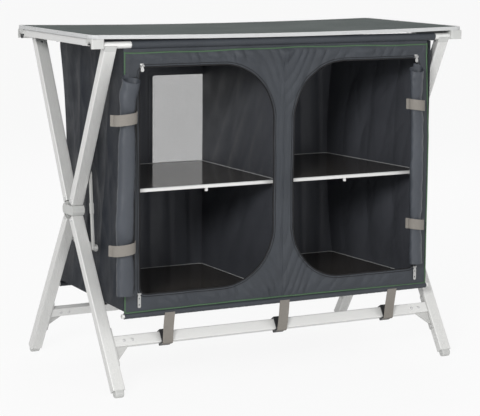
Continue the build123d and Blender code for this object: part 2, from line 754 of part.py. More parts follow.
with BuildPart() as connectors:
    for side in (LEFT, RIGHT):
        for end in (FRONT, BACK):
            middle_x = side * (connector_inner_x + connector_outer_x) / 2
            lip_z = top_tube_z + connector_lip_rise
            with BuildPart(mode=Mode.PRIVATE) as connector:
                with BuildSketch(Plane(origin=(middle_x, 0, 0), x_dir=(0, 1, 0), z_dir=(1, 0, 0))):
                    with BuildLine():
                        Polyline(
                            (end * connector_start, lip_z), (end * connector_start, rail_top),
                            (end * connector_end, rail_top),
                            (end * connector_end, top_tube_z - connector_drop),
                            (end * top_tube_y, top_tube_z - connector_drop), (end * top_tube_y, lip_z),
                            close=True,
                        )
                    make_face()
                extrude(amount=(connector_outer_x - connector_inner_x) / 2, both=True)
                fillet(connector.edges().filter_by(Axis.Z).group_by(Axis.Y)[-1 if end == BACK else 0],
                       connector_fillet)
                bore = tube_radius + hook_gap
                with BuildSketch(Plane(origin=(middle_x, end * top_tube_y, top_tube_z), x_dir=(0, 1, 0),
                                       z_dir=(1, 0, 0))):
                    Circle(bore)
                    with Locations((0, -bore)):
                        Rectangle(2 * bore, 2 * bore)
                extrude(amount=connector_outer_x - connector_inner_x, both=True, mode=Mode.SUBTRACT)
                spigot_top = rail_top - rail_wall - plug_gap
                with Locations((side * rail_centre_x, end * (connector_start - rail_spigot / 2),
                                (spigot_top + lip_z) / 2)):
                    Box(rail_width - 2 * rail_wall - 2 * plug_gap, rail_spigot, spigot_top - lip_z)
            add(connector.part)
write(connectors.part, "rail_connectors")


def wall_half(y, z):
    """Half-width of the cabinet at a depth and height: straight in plan, waisted at the back."""
    back_bow = back_half_middle
    if z < cabinet_waist_z:
        share = (cabinet_waist_z - z) / (cabinet_waist_z - cabinet_floor_z)
        back_bow = back_half_middle + (back_half_bottom - back_half_middle) * share ** 2
    else:
        share = (z - cabinet_waist_z) / (cabinet_top_z - cabinet_waist_z)
        back_bow = back_half_middle + (back_half_top - back_half_middle) * share ** 2
    fraction = (y + top_tube_y) / (2 * top_tube_y)
    return cabinet_front_half + (back_bow - cabinet_front_half) * fraction


# Cabinet walls that gather as the frames close: sides, divider and base
wall_front_y = -top_tube_y + cloth / 2 + cloth_gap
wall_back_y = top_tube_y - cloth / 2 - cloth_gap
wall_bottom_z = cabinet_floor_z + base_thickness
wall_levels = 7
walls = []
for side in (LEFT, RIGHT):
    with BuildPart() as wall:
        for level in range(wall_levels):
            z = wall_bottom_z + (cabinet_top_z - wall_bottom_z) * level / (wall_levels - 1)
            front_x = wall_half(wall_front_y, z)
            back_x = wall_half(wall_back_y, z)
            with BuildSketch(Plane.XY.offset(z)):
                with BuildLine():
                    Polyline((side * front_x, wall_front_y), (side * back_x, wall_back_y),
                             (side * (back_x - cloth), wall_back_y), (side * (front_x - cloth), wall_front_y),
                             close=True)
                make_face()
        loft(ruled=True)
    walls.append(wall.part)
with BuildPart() as side_walls:
    add(walls)
write(side_walls.part, "side_walls")

with BuildPart() as divider:
    with BuildSketch(Plane.YZ):
        with Locations((0, (wall_bottom_z + cabinet_top_z) / 2)):
            Rectangle(wall_back_y - wall_front_y, cabinet_top_z - wall_bottom_z)
    extrude(amount=cloth / 2, both=True)
write(divider.part, "divider_wall")

with BuildPart() as base:
    with BuildSketch(Plane.XY.offset(cabinet_floor_z)):
        front_x = wall_half(wall_front_y, wall_bottom_z)
        back_x = wall_half(wall_back_y, wall_bottom_z)
        with BuildLine():
            Polyline((-front_x, wall_front_y), (front_x, wall_front_y), (back_x, wall_back_y),
                     (-back_x, wall_back_y), close=True)
        make_face()
    extrude(amount=base_thickness)
write(base.part, "cabinet_base")

# Front panel with its two door openings, the hem sleeve and the zip sliders
hem_outer = hem_tube_radius + cloth_gap + hem_cloth
zip_x = opening_outer_x + slider_outset
slider_low_z = opening_bottom_z + slider_low_rise
slider_high_z = opening_top_z + slider_high_rise
slider_spots = {
    "lower_left": (-zip_x, slider_low_z), "lower_right": (zip_x, slider_low_z),
    "upper_left": (slider_high_inset - zip_x, slider_high_z),
    "upper_right": (zip_x - slider_high_inset, slider_high_z),
}
with BuildPart() as front_panel:
    with BuildSketch(Plane.XZ.offset(top_tube_y)):
        with Locations((0, (hem_tube_z + cabinet_top_z) / 2)):
            Rectangle(2 * cabinet_front_half, cabinet_top_z - hem_tube_z)
    extrude(amount=cloth / 2, both=True)
    for side in (LEFT, RIGHT):
        with BuildSketch(Plane.XZ.offset(top_tube_y)) as opening:
            with Locations((side * (opening_inner_x + opening_outer_x) / 2,
                            (opening_bottom_z + opening_top_z) / 2)):
                Rectangle(opening_outer_x - opening_inner_x, opening_top_z - opening_bottom_z)
            corners = opening.vertices().sort_by(Axis.X, reverse=(side == RIGHT))
            fillet(corners[2:], opening_inner_radius)
            corners = opening.vertices().group_by(Axis.X)[0 if side == LEFT else -1]
            fillet(corners, opening_outer_radius)
        extrude(amount=cloth, both=True, mode=Mode.SUBTRACT)
    hem_plane = Plane(origin=(0, -top_tube_y, hem_tube_z), x_dir=(0, 1, 0), z_dir=(1, 0, 0))
    with BuildSketch(hem_plane):
        Circle(hem_outer)
    extrude(amount=cabinet_front_half, both=True)
    with BuildSketch(hem_plane):
        Circle(hem_tube_radius + cloth_gap)
    extrude(amount=cabinet_front_half + cut_margin, both=True, mode=Mode.SUBTRACT)
puller_pin_y = -(top_tube_y + cloth / 2 + slider_thickness + puller_pin_lift)
with BuildPart() as front_set:
    add(front_panel.part)
    for x, z in slider_spots.values():
        with BuildPart(mode=Mode.PRIVATE) as slider:
            with BuildSketch(Plane.XZ.offset(top_tube_y + cloth / 2)):
                with Locations((x, z)):
                    RectangleRounded(slider_width, slider_height, slider_corner)
            extrude(amount=slider_thickness)
            with BuildSketch(Plane.XZ.offset(top_tube_y + cloth / 2 + slider_thickness)):
                with Locations((x, z)):
                    with GridLocations(slider_width - cheek_width, 1, 2, 1):
                        Rectangle(cheek_width, cheek_height)
            extrude(amount=puller_pin_lift + puller_pin_radius + cheek_margin)
            with BuildSketch(Plane(origin=(x, puller_pin_y, z), x_dir=(0, 1, 0), z_dir=(1, 0, 0))):
                Circle(puller_pin_radius)
            extrude(amount=slider_width / 2 - cheek_width / 2, both=True)
        add(slider.part)
write(front_set.part, "front_panel")

# Zip pullers: an eye on the slider's pin and a flat tab below it
for name, (x, z) in slider_spots.items():
    tab_length = long_puller if name.startswith("lower") else short_puller
    eye_half = slider_width / 2 - cheek_width - puller_side_gap
    with BuildPart() as puller:
        with BuildSketch(Plane(origin=(x, puller_pin_y, z), x_dir=(0, 1, 0), z_dir=(1, 0, 0))):
            Circle(puller_barrel_radius)
            with Locations((0, -puller_barrel_radius - puller_neck)):
                Rectangle(puller_thickness, 2 * puller_barrel_radius)
        extrude(amount=eye_half, both=True)
        with BuildSketch(Plane(origin=(x, puller_pin_y, z), x_dir=(1, 0, 0), z_dir=(0, -1, 0))):
            with Locations((0, -cheek_height / 2 - puller_neck - tab_length / 2)):
                RectangleRounded(puller_width, tab_length, puller_corner)
                if tab_length == long_puller:
                    with GridLocations(1, tab_length / 2, 1, 2):
                        Circle(puller_width / 5, mode=Mode.SUBTRACT)
        extrude(amount=puller_thickness / 2, both=True)
        with BuildSketch(Plane(origin=(x, puller_pin_y, z), x_dir=(0, 1, 0), z_dir=(1, 0, 0))):
            Circle(puller_pin_radius + running_gap)
        extrude(amount=puller_width, both=True, mode=Mode.SUBTRACT)
    write(puller.part, f"zip_puller_{name}")

# Back panel with its mesh window and hem sleeve
back_levels = 9
with BuildPart() as back_panel:
    edge = []
    for level in range(back_levels):
        z = hem_tube_z + (cabinet_top_z - hem_tube_z) * level / (back_levels - 1)
        edge.append((wall_half(top_tube_y, z), z))
    with BuildSketch(Plane.XZ.offset(-top_tube_y)):
        with BuildLine():
            Polyline(*edge, *[(-x, z) for x, z in reversed(edge)], close=True)
        make_face()
        with Locations((0, (window_bottom_z + window_top_z) / 2)):
            RectangleRounded(2 * window_half_width, window_top_z - window_bottom_z, window_corner,
                             mode=Mode.SUBTRACT)
    extrude(amount=cloth / 2, both=True)
    hem_plane = Plane(origin=(0, top_tube_y, hem_tube_z), x_dir=(0, 1, 0), z_dir=(1, 0, 0))
    with BuildSketch(hem_plane):
        Circle(hem_outer)
    extrude(amount=back_half_bottom, both=True)
    with BuildSketch(hem_plane):
        Circle(hem_tube_radius + cloth_gap)
    extrude(amount=cabinet_front_half + cut_margin, both=True, mode=Mode.SUBTRACT)
write(back_panel.part, "back_panel")

with BuildPart() as mesh:
    with BuildSketch(Plane.XZ.offset(-top_tube_y)):
        with Locations((0, (window_bottom_z + window_top_z) / 2)):
            RectangleRounded(2 * window_half_width, window_top_z - window_bottom_z, window_corner)
    extrude(amount=mesh_thickness / 2, both=True)
write(mesh.part, "mesh_window")

for end in (FRONT, BACK):
    with BuildPart() as hem_tube:
        with BuildSketch(Plane(origin=(0, end * top_tube_y, hem_tube_z), x_dir=(0, 1, 0), z_dir=(1, 0, 0))):
            Circle(hem_tube_radius)
            Circle(hem_tube_radius - hem_tube_wall, mode=Mode.SUBTRACT)
        extrude(amount=hem_tube_half_length, both=True)
    write(hem_tube.part, f"{end_name[end]}_hem_tube")

# Shelves: four loose boards, the middle pair on cloth layers sewn between the walls
bottom_shelf_z = cabinet_floor_z + base_thickness
shelf_back_y = wall_back_y - shelf_back_gap


def compartment(side, front_y, back_y, z, gap):
    """Plan outline of one compartment at a height, kept a gap clear of its walls."""
    inner_x = cloth / 2 + gap
    front_x = wall_half(front_y, z) - cloth - gap
    back_x = wall_half(back_y, z) - cloth - gap
    return [(side * inner_x, front_y), (side * front_x, front_y), (side * back_x, back_y),
            (side * inner_x, back_y)]


for level, z in (("mid", mid_shelf_top_z - shelf_thickness), ("bottom", bottom_shelf_z)):
    boards = []
    for side in (LEFT, RIGHT):
        with BuildPart() as shelf:
            with BuildSketch(Plane.XY.offset(z)) as outline:
                with BuildLine():
                    Polyline(*compartment(side, shelf_front_y, shelf_back_y, z + shelf_thickness,
                                          shelf_side_gap + shelf_draft), close=True)
                make_face()
                fillet(outline.vertices(), shelf_corner)
            extrude(amount=shelf_thickness)
            if level == "mid":
                corners = compartment(side, shelf_front_y, shelf_back_y, z, shelf_side_gap)
                stud_x = corners[0][0] + shelf_stud_share * (corners[1][0] - corners[0][0])
                with BuildSketch(Plane.XY.offset(z)):
                    with Locations((stud_x, shelf_front_y + shelf_stud_inset)):
                        Circle(shelf_stud_radius)
                extrude(amount=-shelf_stud_height)
        boards.append(shelf.part)
    with BuildPart() as shelf_pair:
        add(boards)
    write(shelf_pair.part, f"{level}_shelves")

with BuildPart() as shelf_cloths:
    layer_top = mid_shelf_top_z - shelf_thickness
    layer_front_y = shelf_front_y + 2 * shelf_stud_inset
    for side in (LEFT, RIGHT):
        with BuildSketch(Plane.XY.offset(layer_top - cloth)):
            with BuildLine():
                Polyline(*compartment(side, layer_front_y, wall_back_y, layer_top, cloth_gap), close=True)
            make_face()
        extrude(amount=cloth)
write(shelf_cloths.part, "shelf_cloths")

# Rolled doors beside the openings and the bands that hold them
class Roll:
    """Sizes of one rolled door: its ends, its half-width and half-depth, and where it hangs."""

    def __init__(self, half_width, bottom_z, bottom_x, top_x):
        self.half_width = half_width
        self.half_depth = roll_flatness * half_width
        self.bottom_z = bottom_z
        self.bottom_x = bottom_x
        self.top_x = top_x
        self.y = -(top_tube_y + cloth / 2 + roll_gap + self.half_depth)

    def x(self, z):
        """Middle of the roll at a height."""
        share = (z - self.bottom_z) / (roll_top_z - self.bottom_z)
        return self.bottom_x + (self.top_x - self.bottom_x) * share

    def sections(self):
        """Heights and swells of the roll, waisted at its two bands."""
        span = band_top_z - band_bottom_z
        return (
            (self.bottom_z, 1.0),
            ((self.bottom_z + band_bottom_z) / 2, roll_belly),
            (band_bottom_z, roll_waist),
            (band_bottom_z + 0.28 * span, roll_belly),
            (band_bottom_z + 0.64 * span, roll_belly),
            (band_top_z, roll_waist),
            (band_top_z + 0.6 * (roll_top_z - band_top_z), 1.0),
            (roll_top_z, roll_belly),
        )


rolls = {
    LEFT: Roll(left_roll_half_width, left_roll_bottom_z, -cabinet_front_half - left_roll_overhang_bottom,
               -cabinet_front_half - left_roll_overhang_top),
    RIGHT: Roll(right_roll_half_width, right_roll_bottom_z, cabinet_front_half - right_roll_inset_bottom,
                cabinet_front_half - right_roll_inset_top),
}
for side, size in rolls.items():
    with BuildPart() as roll:
        for z, swell in size.sections():
            with BuildSketch(Plane.XY.offset(z)):
                with Locations((size.x(z), size.y + size.half_depth * (1 - swell))):
                    Ellipse(size.half_width * swell, size.half_depth * swell)
        loft()
        with BuildSketch(Plane.XY.offset(roll_top_z)):
            with Locations((size.x(roll_top_z), size.y)):
                Ellipse(size.half_width - roll_cloth, size.half_depth - roll_cloth)
        extrude(amount=-roll_mouth, mode=Mode.SUBTRACT)
    write(roll.part, f"rolled_door_{side_name[side]}")

with BuildPart() as bands:
    for size in rolls.values():
        for z in (band_bottom_z, band_top_z):
            with BuildSketch(Plane.XY.offset(z - band_height / 2)):
                with Locations((size.x(z), size.y)):
                    Ellipse(size.half_width + band_thickness, size.half_depth + band_thickness)
                    Ellipse(size.half_width, size.half_depth, mode=Mode.SUBTRACT)
            extrude(amount=band_height)
    with BuildSketch(Plane.XZ.offset(top_tube_y + cloth / 2)):
        Rectangle(2 * worktop_width, 2 * worktop_width)
    extrude(amount=-2 * band_thickness, mode=Mode.SUBTRACT)
write(bands.part, "roll_straps")

# Straps between the cabinet hems and the bottom bars, each with a moulded hook on the bar
for end in (FRONT, BACK):
    bar_plane = lower_plane(0, end)
    bar_centre = bar_plane.origin + bar_plane.z_dir * bar_reach
    outward = bar_plane.y_dir if bar_plane.y_dir.Y * end > 0 else -bar_plane.y_dir
    section = Plane(origin=bar_centre, x_dir=outward, z_dir=(1, 0, 0))
    up = -1 if section.y_dir.Z < 0 else 1
    near = bar_depth / 2 + hook_clearance
    far = near + hook_wall
    tall = bar_height / 2 + hook_clearance
    with BuildPart() as hooks:
        for step in (-1, 0, 1):
            x = step * strap_pitch + strap_shift
            with BuildSketch(section.offset(x - strap_width / 2)):
                with Locations(((near + far) / 2, 0)):
                    Rectangle(hook_wall, 2 * (tall + hook_wall))
                for turn in (1, -1):
                    with Locations(((far - bar_depth / 2 - hook_lip_clearance) / 2,
                                    turn * (tall + hook_wall / 2))):
                        Rectangle(far + bar_depth / 2 + hook_lip_clearance, hook_wall)
                with Locations((-bar_depth / 2 - hook_lip_clearance - hook_wall / 2,
                                -up * (tall + hook_wall - hook_lip / 2))):
                    Rectangle(hook_wall, hook_lip)
            extrude(amount=strap_width)
    write(hooks.part, f"{end_name[end]}_strap_hooks")

    with BuildPart() as straps:
        anchor = section.from_local_coords((far + running_gap, -up * (tall + hook_wall - strap_seam), 0))
        top = Vector(0, end * (top_tube_y + hem_outer + cloth_gap), hem_tube_z)
        run = Vector(0, top.Y - anchor.Y, top.Z - anchor.Z)
        for step in (-1, 0, 1):
            x = step * strap_pitch + strap_shift
            strap_plane = Plane(origin=(x, anchor.Y, anchor.Z), x_dir=(1, 0, 0), z_dir=run.normalized())
            with BuildSketch(strap_plane):
                with Locations((0, strap_thickness / 2 if strap_plane.y_dir.Y * end > 0
                                else -strap_thickness / 2)):
                    Rectangle(strap_width - 2 * strap_side_gap, strap_thickness)
            extrude(amount=run.length)
    write(straps.part, f"{end_name[end]}_tie_straps")
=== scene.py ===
from math import atan2, cos, pi, radians, sin

import bpy
import numpy as np
from mathutils import Matrix, Vector


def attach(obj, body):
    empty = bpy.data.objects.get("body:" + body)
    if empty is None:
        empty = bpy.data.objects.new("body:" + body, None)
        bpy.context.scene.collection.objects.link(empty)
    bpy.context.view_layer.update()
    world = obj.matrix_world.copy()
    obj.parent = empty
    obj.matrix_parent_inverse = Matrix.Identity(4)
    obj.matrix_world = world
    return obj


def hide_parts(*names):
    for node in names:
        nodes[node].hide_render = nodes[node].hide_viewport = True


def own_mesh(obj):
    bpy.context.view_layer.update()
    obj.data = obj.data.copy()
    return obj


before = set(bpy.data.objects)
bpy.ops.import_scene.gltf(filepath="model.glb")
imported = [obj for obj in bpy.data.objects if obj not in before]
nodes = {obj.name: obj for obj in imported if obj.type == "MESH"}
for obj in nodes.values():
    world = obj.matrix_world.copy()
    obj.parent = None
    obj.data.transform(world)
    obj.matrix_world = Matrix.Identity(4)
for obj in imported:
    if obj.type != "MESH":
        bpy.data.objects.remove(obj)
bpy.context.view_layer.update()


# Finishes of the metal frame.
# Anodised aluminium tube and painted steel plate, both pale and slightly scuffed, with a fine grain
# drawn along the tube. The fasteners are zinc plated steel.
def new_group(name, inputs, outputs):
    group = bpy.data.node_groups.new(name, "ShaderNodeTree")
    for label, kind, value in inputs:
        socket = group.interface.new_socket(name=label, in_out="INPUT", socket_type=kind)
        if value is not None:
            socket.default_value = value
    for label, kind in outputs:
        group.interface.new_socket(name=label, in_out="OUTPUT", socket_type=kind)
    return group, group.nodes.new("NodeGroupInput"), group.nodes.new("NodeGroupOutput")


def math_node(tree, operation, first, second=None, third=None):
    node = tree.nodes.new("ShaderNodeMath")
    node.operation = operation
    for place, value in enumerate((first, second, third)):
        if value is None:
            continue
        if isinstance(value, (int, float)):
            node.inputs[place].default_value = value
        else:
            tree.links.new(value, node.inputs[place])
    return node.outputs[0]


def mixed_colour(tree, share, first, second):
    node = tree.nodes.new("ShaderNodeMix")
    node.data_type = "RGBA"
    for place, value in ((0, share), (6, first), (7, second)):
        if isinstance(value, (int, float)):
            node.inputs[place].default_value = value
        elif isinstance(value, tuple):
            node.inputs[place].default_value = (*value, 1)
        else:
            tree.links.new(value, node.inputs[place])
    return node.outputs[2]


def ramped(tree, value, low, high, out_low=0.0, out_high=1.0):
    node = tree.nodes.new("ShaderNodeMapRange")
    node.interpolation_type = "SMOOTHSTEP"
    for place, number in enumerate((low, high, out_low, out_high), start=1):
        node.inputs[place].default_value = number
    tree.links.new(value, node.inputs[0])
    return node.outputs[0]


def noise(tree, vector, scale, detail=3.0, roughness=0.5):
    node = tree.nodes.new("ShaderNodeTexNoise")
    tree.links.new(vector, node.inputs["Vector"])
    node.inputs["Scale"].default_value = scale
    node.inputs["Detail"].default_value = detail
    node.inputs["Roughness"].default_value = roughness
    return node.outputs["Fac"]


def grain_group():
    group, source, result = new_group(
        "Drawn grain and scuffs",
        [("Vector", "NodeSocketVector", None), ("Stretch", "NodeSocketVector", (1, 1, 1)),
         ("Clean", "NodeSocketColor", (0.8, 0.8, 0.8, 1)), ("Worn", "NodeSocketColor", (0.5, 0.5, 0.5, 1)),
         ("Smooth", "NodeSocketFloat", 0.25), ("Rough", "NodeSocketFloat", 0.45)],
        [("Color", "NodeSocketColor"), ("Roughness", "NodeSocketFloat"), ("Height", "NodeSocketFloat")])
    stretch = group.nodes.new("ShaderNodeVectorMath")
    stretch.operation = "MULTIPLY"
    group.links.new(source.outputs["Vector"], stretch.inputs[0])
    group.links.new(source.outputs["Stretch"], stretch.inputs[1])
    lines = noise(group, stretch.outputs[0], 900.0, 2.0)
    cloud = noise(group, source.outputs["Vector"], 14.0, 4.0)
    scuff = noise(group, source.outputs["Vector"], 160.0, 5.0, 0.7)
    worn = math_node(group, "MULTIPLY", ramped(group, scuff, 0.58, 0.78), ramped(group, cloud, 0.42, 0.7))
    shade = math_node(group, "ADD", worn, math_node(group, "MULTIPLY", lines, 0.22))
    colour = mixed_colour(group, shade, source.outputs["Clean"], source.outputs["Worn"])
    group.links.new(colour, result.inputs["Color"])
    spread = math_node(group, "SUBTRACT", source.outputs["Rough"], source.outputs["Smooth"])
    share = math_node(group, "ADD", math_node(group, "MULTIPLY", cloud, 0.6),
                      math_node(group, "MULTIPLY", worn, 0.8))
    level = math_node(group, "MULTIPLY_ADD", spread, share, source.outputs["Smooth"])
    group.links.new(level, result.inputs["Roughness"])
    height = math_node(group, "ADD", lines, math_node(group, "MULTIPLY", scuff, 0.3))
    group.links.new(height, result.inputs["Height"])
    return group


drawn_grain = grain_group()


def place_group(tree, group, values):
    node = tree.nodes.new("ShaderNodeGroup")
    node.node_tree = group
    for label, value in values.items():
        if isinstance(value, (int, float)):
            node.inputs[label].default_value = value
        elif isinstance(value, tuple):
            full = len(value) == len(node.inputs[label].default_value)
            node.inputs[label].default_value = value if full else (*value, 1)
        else:
            tree.links.new(value, node.inputs[label])
    return node


def fresh_material(name):
    material = bpy.data.materials.new(name)
    material.use_nodes = True
    tree = material.node_tree
    shader = next(n for n in tree.nodes if n.type == "BSDF_PRINCIPLED")
    coords = tree.nodes.new("ShaderNodeTexCoord").outputs["Object"]
    return material, tree, shader, coords


def bumped(tree, shader, height, strength, distance):
    bump = tree.nodes.new("ShaderNodeBump")
    bump.inputs["Strength"].default_value = strength
    bump.inputs["Distance"].default_value = distance
    tree.links.new(height, bump.inputs["Height"])
    tree.links.new(bump.outputs["Normal"], shader.inputs["Normal"])


def grained_material(name, clean, worn, stretch, smooth, rough, metallic, bump=0.25):
    material, tree, shader, coords = fresh_material(name)
    values = {"Vector": coords, "Stretch": stretch, "Clean": clean, "Worn": worn, "Smooth": smooth,
              "Rough": rough}
    group = place_group(tree, drawn_grain, values)
    tree.links.new(group.outputs["Color"], shader.inputs["Base Color"])
    tree.links.new(group.outputs["Roughness"], shader.inputs["Roughness"])
    shader.inputs["Metallic"].default_value = metallic
    bumped(tree, shader, group.outputs["Height"], bump, 0.0002)
    return material


def finish_nodes(material, names):
    for name in names:
        mesh = nodes[name].data
        mesh.materials.clear()
        mesh.materials.append(material)


legs = [name for name in nodes if "_leg_left" in name or "_leg_right" in name]
upright_aluminium = grained_material("upright_aluminium", (0.76, 0.76, 0.745), (0.58, 0.58, 0.565),
                                     (1.0, 0.05, 0.05), 0.34, 0.52, 0.25)
finish_nodes(upright_aluminium, legs)
level_aluminium = grained_material("level_aluminium", (0.8, 0.8, 0.785), (0.62, 0.62, 0.6),
                                   (0.04, 1.0, 1.0), 0.32, 0.5, 0.25)
finish_nodes(level_aluminium, ["front_top_tube", "rear_top_tube", "front_bottom_bar", "rear_bottom_bar",
                               "front_hem_tube", "rear_hem_tube"])
rail_aluminium = grained_material("rail_aluminium", (0.74, 0.74, 0.73), (0.56, 0.56, 0.55),
                                  (1.0, 0.04, 1.0), 0.32, 0.5, 0.25)
finish_nodes(rail_aluminium, ["side_rails"])
painted_plate = grained_material("painted_plate", (0.6, 0.6, 0.585), (0.4, 0.4, 0.39), (0.3, 0.3, 0.3),
                                 0.35, 0.6, 0.2, 0.3)
finish_nodes(painted_plate, ["front_bar_brackets", "rear_bar_brackets", "stay_link_left", "stay_link_right",
                             "stay_arm_left", "stay_arm_right"])
zinc_steel = grained_material("zinc_steel", (0.62, 0.62, 0.62), (0.34, 0.34, 0.34), (0.5, 0.5, 0.5),
                              0.2, 0.5, 0.9)
finish_nodes(zinc_steel, ["hub_rivets", "front_head_screws", "rear_head_screws", "front_bar_screws",
                          "rear_bar_screws", "rail_screws", "rear_stay_studs"])
puller_metal = grained_material("puller_metal", (0.46, 0.46, 0.455), (0.24, 0.24, 0.24), (0.5, 0.5, 0.5),
                                0.25, 0.5, 0.6)
finish_nodes(puller_metal, [f"zip_puller_{level}_{side}" for level in ("lower", "upper")
                            for side in ("left", "right")])


# Moulded pieces of the frame: hubs, leg heads, hook connectors, feet, caps and strap hooks.
# Injection moulded nylon, pale grey or black, with a fine spark-eroded texture.
def moulded_material(name, colour, scuffed, roughness, texture_scale):
    material, tree, shader, coords = fresh_material(name)
    pits = noise(tree, coords, texture_scale, 3.0, 0.6)
    cloud = noise(tree, coords, 22.0, 4.0)
    marks = math_node(tree, "MULTIPLY", ramped(tree, noise(tree, coords, 210.0, 4.0, 0.7), 0.6, 0.78),
                      ramped(tree, cloud, 0.4, 0.68))
    shaded = tuple(0.86 * part for part in colour)
    tone = mixed_colour(tree, math_node(tree, "MULTIPLY", cloud, 0.35), colour, shaded)
    tree.links.new(mixed_colour(tree, marks, tone, scuffed), shader.inputs["Base Color"])
    tree.links.new(ramped(tree, cloud, 0.3, 0.7, roughness - 0.08, roughness + 0.1),
                   shader.inputs["Roughness"])
    bumped(tree, shader, pits, 0.3, 0.0003)
    return material


pale_moulding = moulded_material("pale_moulding", (0.6, 0.605, 0.59), (0.45, 0.45, 0.44), 0.42, 1400.0)
finish_nodes(pale_moulding, ["hub_blocks", "front_leg_heads", "rear_leg_heads", "rail_connectors",
                             "front_feet", "rear_feet"])
black_moulding = moulded_material("black_moulding", (0.022, 0.023, 0.025), (0.09, 0.09, 0.09), 0.45, 1200.0)
finish_nodes(black_moulding, ["front_tube_caps", "rear_tube_caps", "front_strap_hooks", "rear_strap_hooks"])


# Worktop: a board faced with grey-green laminate in a pale aluminium-look edge trim.
# The laminate has a fine pebble and a soft sheen; the board hangs a little between its end rails.
laminate, tree, shader, coords = fresh_material("worktop_laminate")
speckle = noise(tree, coords, 520.0, 5.0, 0.75)
drift = noise(tree, coords, 3.5, 3.0)
laminate_tone = mixed_colour(tree, ramped(tree, speckle, 0.35, 0.65), (0.1, 0.118, 0.114),
                             (0.145, 0.166, 0.161))
drifted_tone = mixed_colour(tree, math_node(tree, "MULTIPLY", drift, 0.4), laminate_tone,
                            (0.11, 0.129, 0.125))
tree.links.new(drifted_tone, shader.inputs["Base Color"])
rubbed = noise(tree, coords, 9.0, 6.0, 0.7)
tree.links.new(ramped(tree, rubbed, 0.3, 0.72, 0.72, 0.86), shader.inputs["Roughness"])
shader.inputs["Specular IOR Level"].default_value = 0.03
bumped(tree, shader, speckle, 0.16, 0.0002)
finish_nodes(laminate, ["worktop_panel"])
edge_trim = moulded_material("edge_trim", (0.6, 0.61, 0.61), (0.42, 0.42, 0.42), 0.32, 900.0)
finish_nodes(edge_trim, ["worktop_edge_trim"])


# Shelves: thin boards with a near-black glossy face above and below and white sides.
# The face drifts a little in tone and shine, as printed foil on board does.
shelf_finish, tree, shader, coords = fresh_material("shelf_board")
normal = tree.nodes.new("ShaderNodeNewGeometry").outputs["Normal"]
split_normal = tree.nodes.new("ShaderNodeSeparateXYZ")
tree.links.new(normal, split_normal.inputs[0])
flat = math_node(tree, "GREATER_THAN", math_node(tree, "ABSOLUTE", split_normal.outputs["Z"]), 0.7)
figure = noise(tree, coords, 7.0, 5.0, 0.6)
face_tone = mixed_colour(tree, ramped(tree, figure, 0.35, 0.7), (0.06, 0.054, 0.049), (0.082, 0.074, 0.066))
edge_tone = mixed_colour(tree, math_node(tree, "MULTIPLY", figure, 0.4), (0.8, 0.8, 0.79),
                         (0.66, 0.66, 0.64))
tree.links.new(mixed_colour(tree, flat, edge_tone, face_tone), shader.inputs["Base Color"])
tree.links.new(ramped(tree, figure, 0.3, 0.7, 0.09, 0.12), shader.inputs["Roughness"])
shader.inputs["Specular IOR Level"].default_value = 0.12
# Warm specular tint: painted reflection, colouring the face's reflections brown like what they mirror.
shader.inputs["Specular Tint"].default_value = (1.0, 0.86, 0.74, 1)
bumped(tree, shader, noise(tree, coords, 420.0, 3.0), 0.02, 0.0001)
finish_nodes(shelf_finish, ["mid_shelves", "bottom_shelves"])


# Front panel: one taut sheet of cloth with two door openings, pulled down between the top sleeve and
# the hem tube. It is coated woven polyester, dark anthracite with a faint blue cast, whose plain weave
# shows close up. Creases fan out round the openings' corners, and a seam runs down the middle.
def weave_group():
    group, source, result = new_group(
        "Plain weave",
        [("Vector", "NodeSocketVector", None), ("Thread", "NodeSocketFloat", 0.0006),
         ("Dark", "NodeSocketColor", (0.03, 0.03, 0.03, 1)),
         ("Light", "NodeSocketColor", (0.06, 0.06, 0.06, 1)), ("Mottle", "NodeSocketFloat", 0.4)],
        [("Color", "NodeSocketColor"), ("Height", "NodeSocketFloat")])
    turns = math_node(group, "DIVIDE", 2 * pi, source.outputs["Thread"])
    axes = group.nodes.new("ShaderNodeSeparateXYZ")
    group.links.new(source.outputs["Vector"], axes.inputs[0])
    across = math_node(group, "ADD", axes.outputs["X"], axes.outputs["Y"])
    warp = math_node(group, "SINE", math_node(group, "MULTIPLY", across, turns))
    weft = math_node(group, "SINE", math_node(group, "MULTIPLY", axes.outputs["Z"], turns))
    threads = math_node(group, "MULTIPLY_ADD", math_node(group, "MULTIPLY", warp, weft), 0.5, 0.5)
    cloud = noise(group, source.outputs["Vector"], 11.0, 4.0)
    speck = noise(group, source.outputs["Vector"], 380.0, 3.0)
    tone = math_node(group, "ADD", math_node(group, "MULTIPLY", threads, 0.35),
                     math_node(group, "MULTIPLY", speck, 0.3))
    share = math_node(group, "MULTIPLY_ADD", math_node(group, "SUBTRACT", cloud, 0.5),
                      source.outputs["Mottle"], tone)
    group.links.new(mixed_colour(group, share, source.outputs["Dark"], source.outputs["Light"]),
                    result.inputs["Color"])
    group.links.new(math_node(group, "MULTIPLY_ADD", speck, 0.4, threads), result.inputs["Height"])
    return group


plain_weave = weave_group()


def cloth_material(name, dark, light, thread, roughness, shine, mottle=0.5, bump=0.35):
    material, tree, shader, coords = fresh_material(name)
    values = {"Vector": coords, "Thread": thread, "Dark": dark, "Light": light, "Mottle": mottle}
    group = place_group(tree, plain_weave, values)
    tree.links.new(group.outputs["Color"], shader.inputs["Base Color"])
    tree.links.new(ramped(tree, noise(tree, coords, 18.0, 3.0), 0.3, 0.7, roughness - 0.06, roughness + 0.08),
                   shader.inputs["Roughness"])
    shader.inputs["Specular IOR Level"].default_value = shine
    bumped(tree, shader, group.outputs["Height"], bump, 0.0003)
    return material


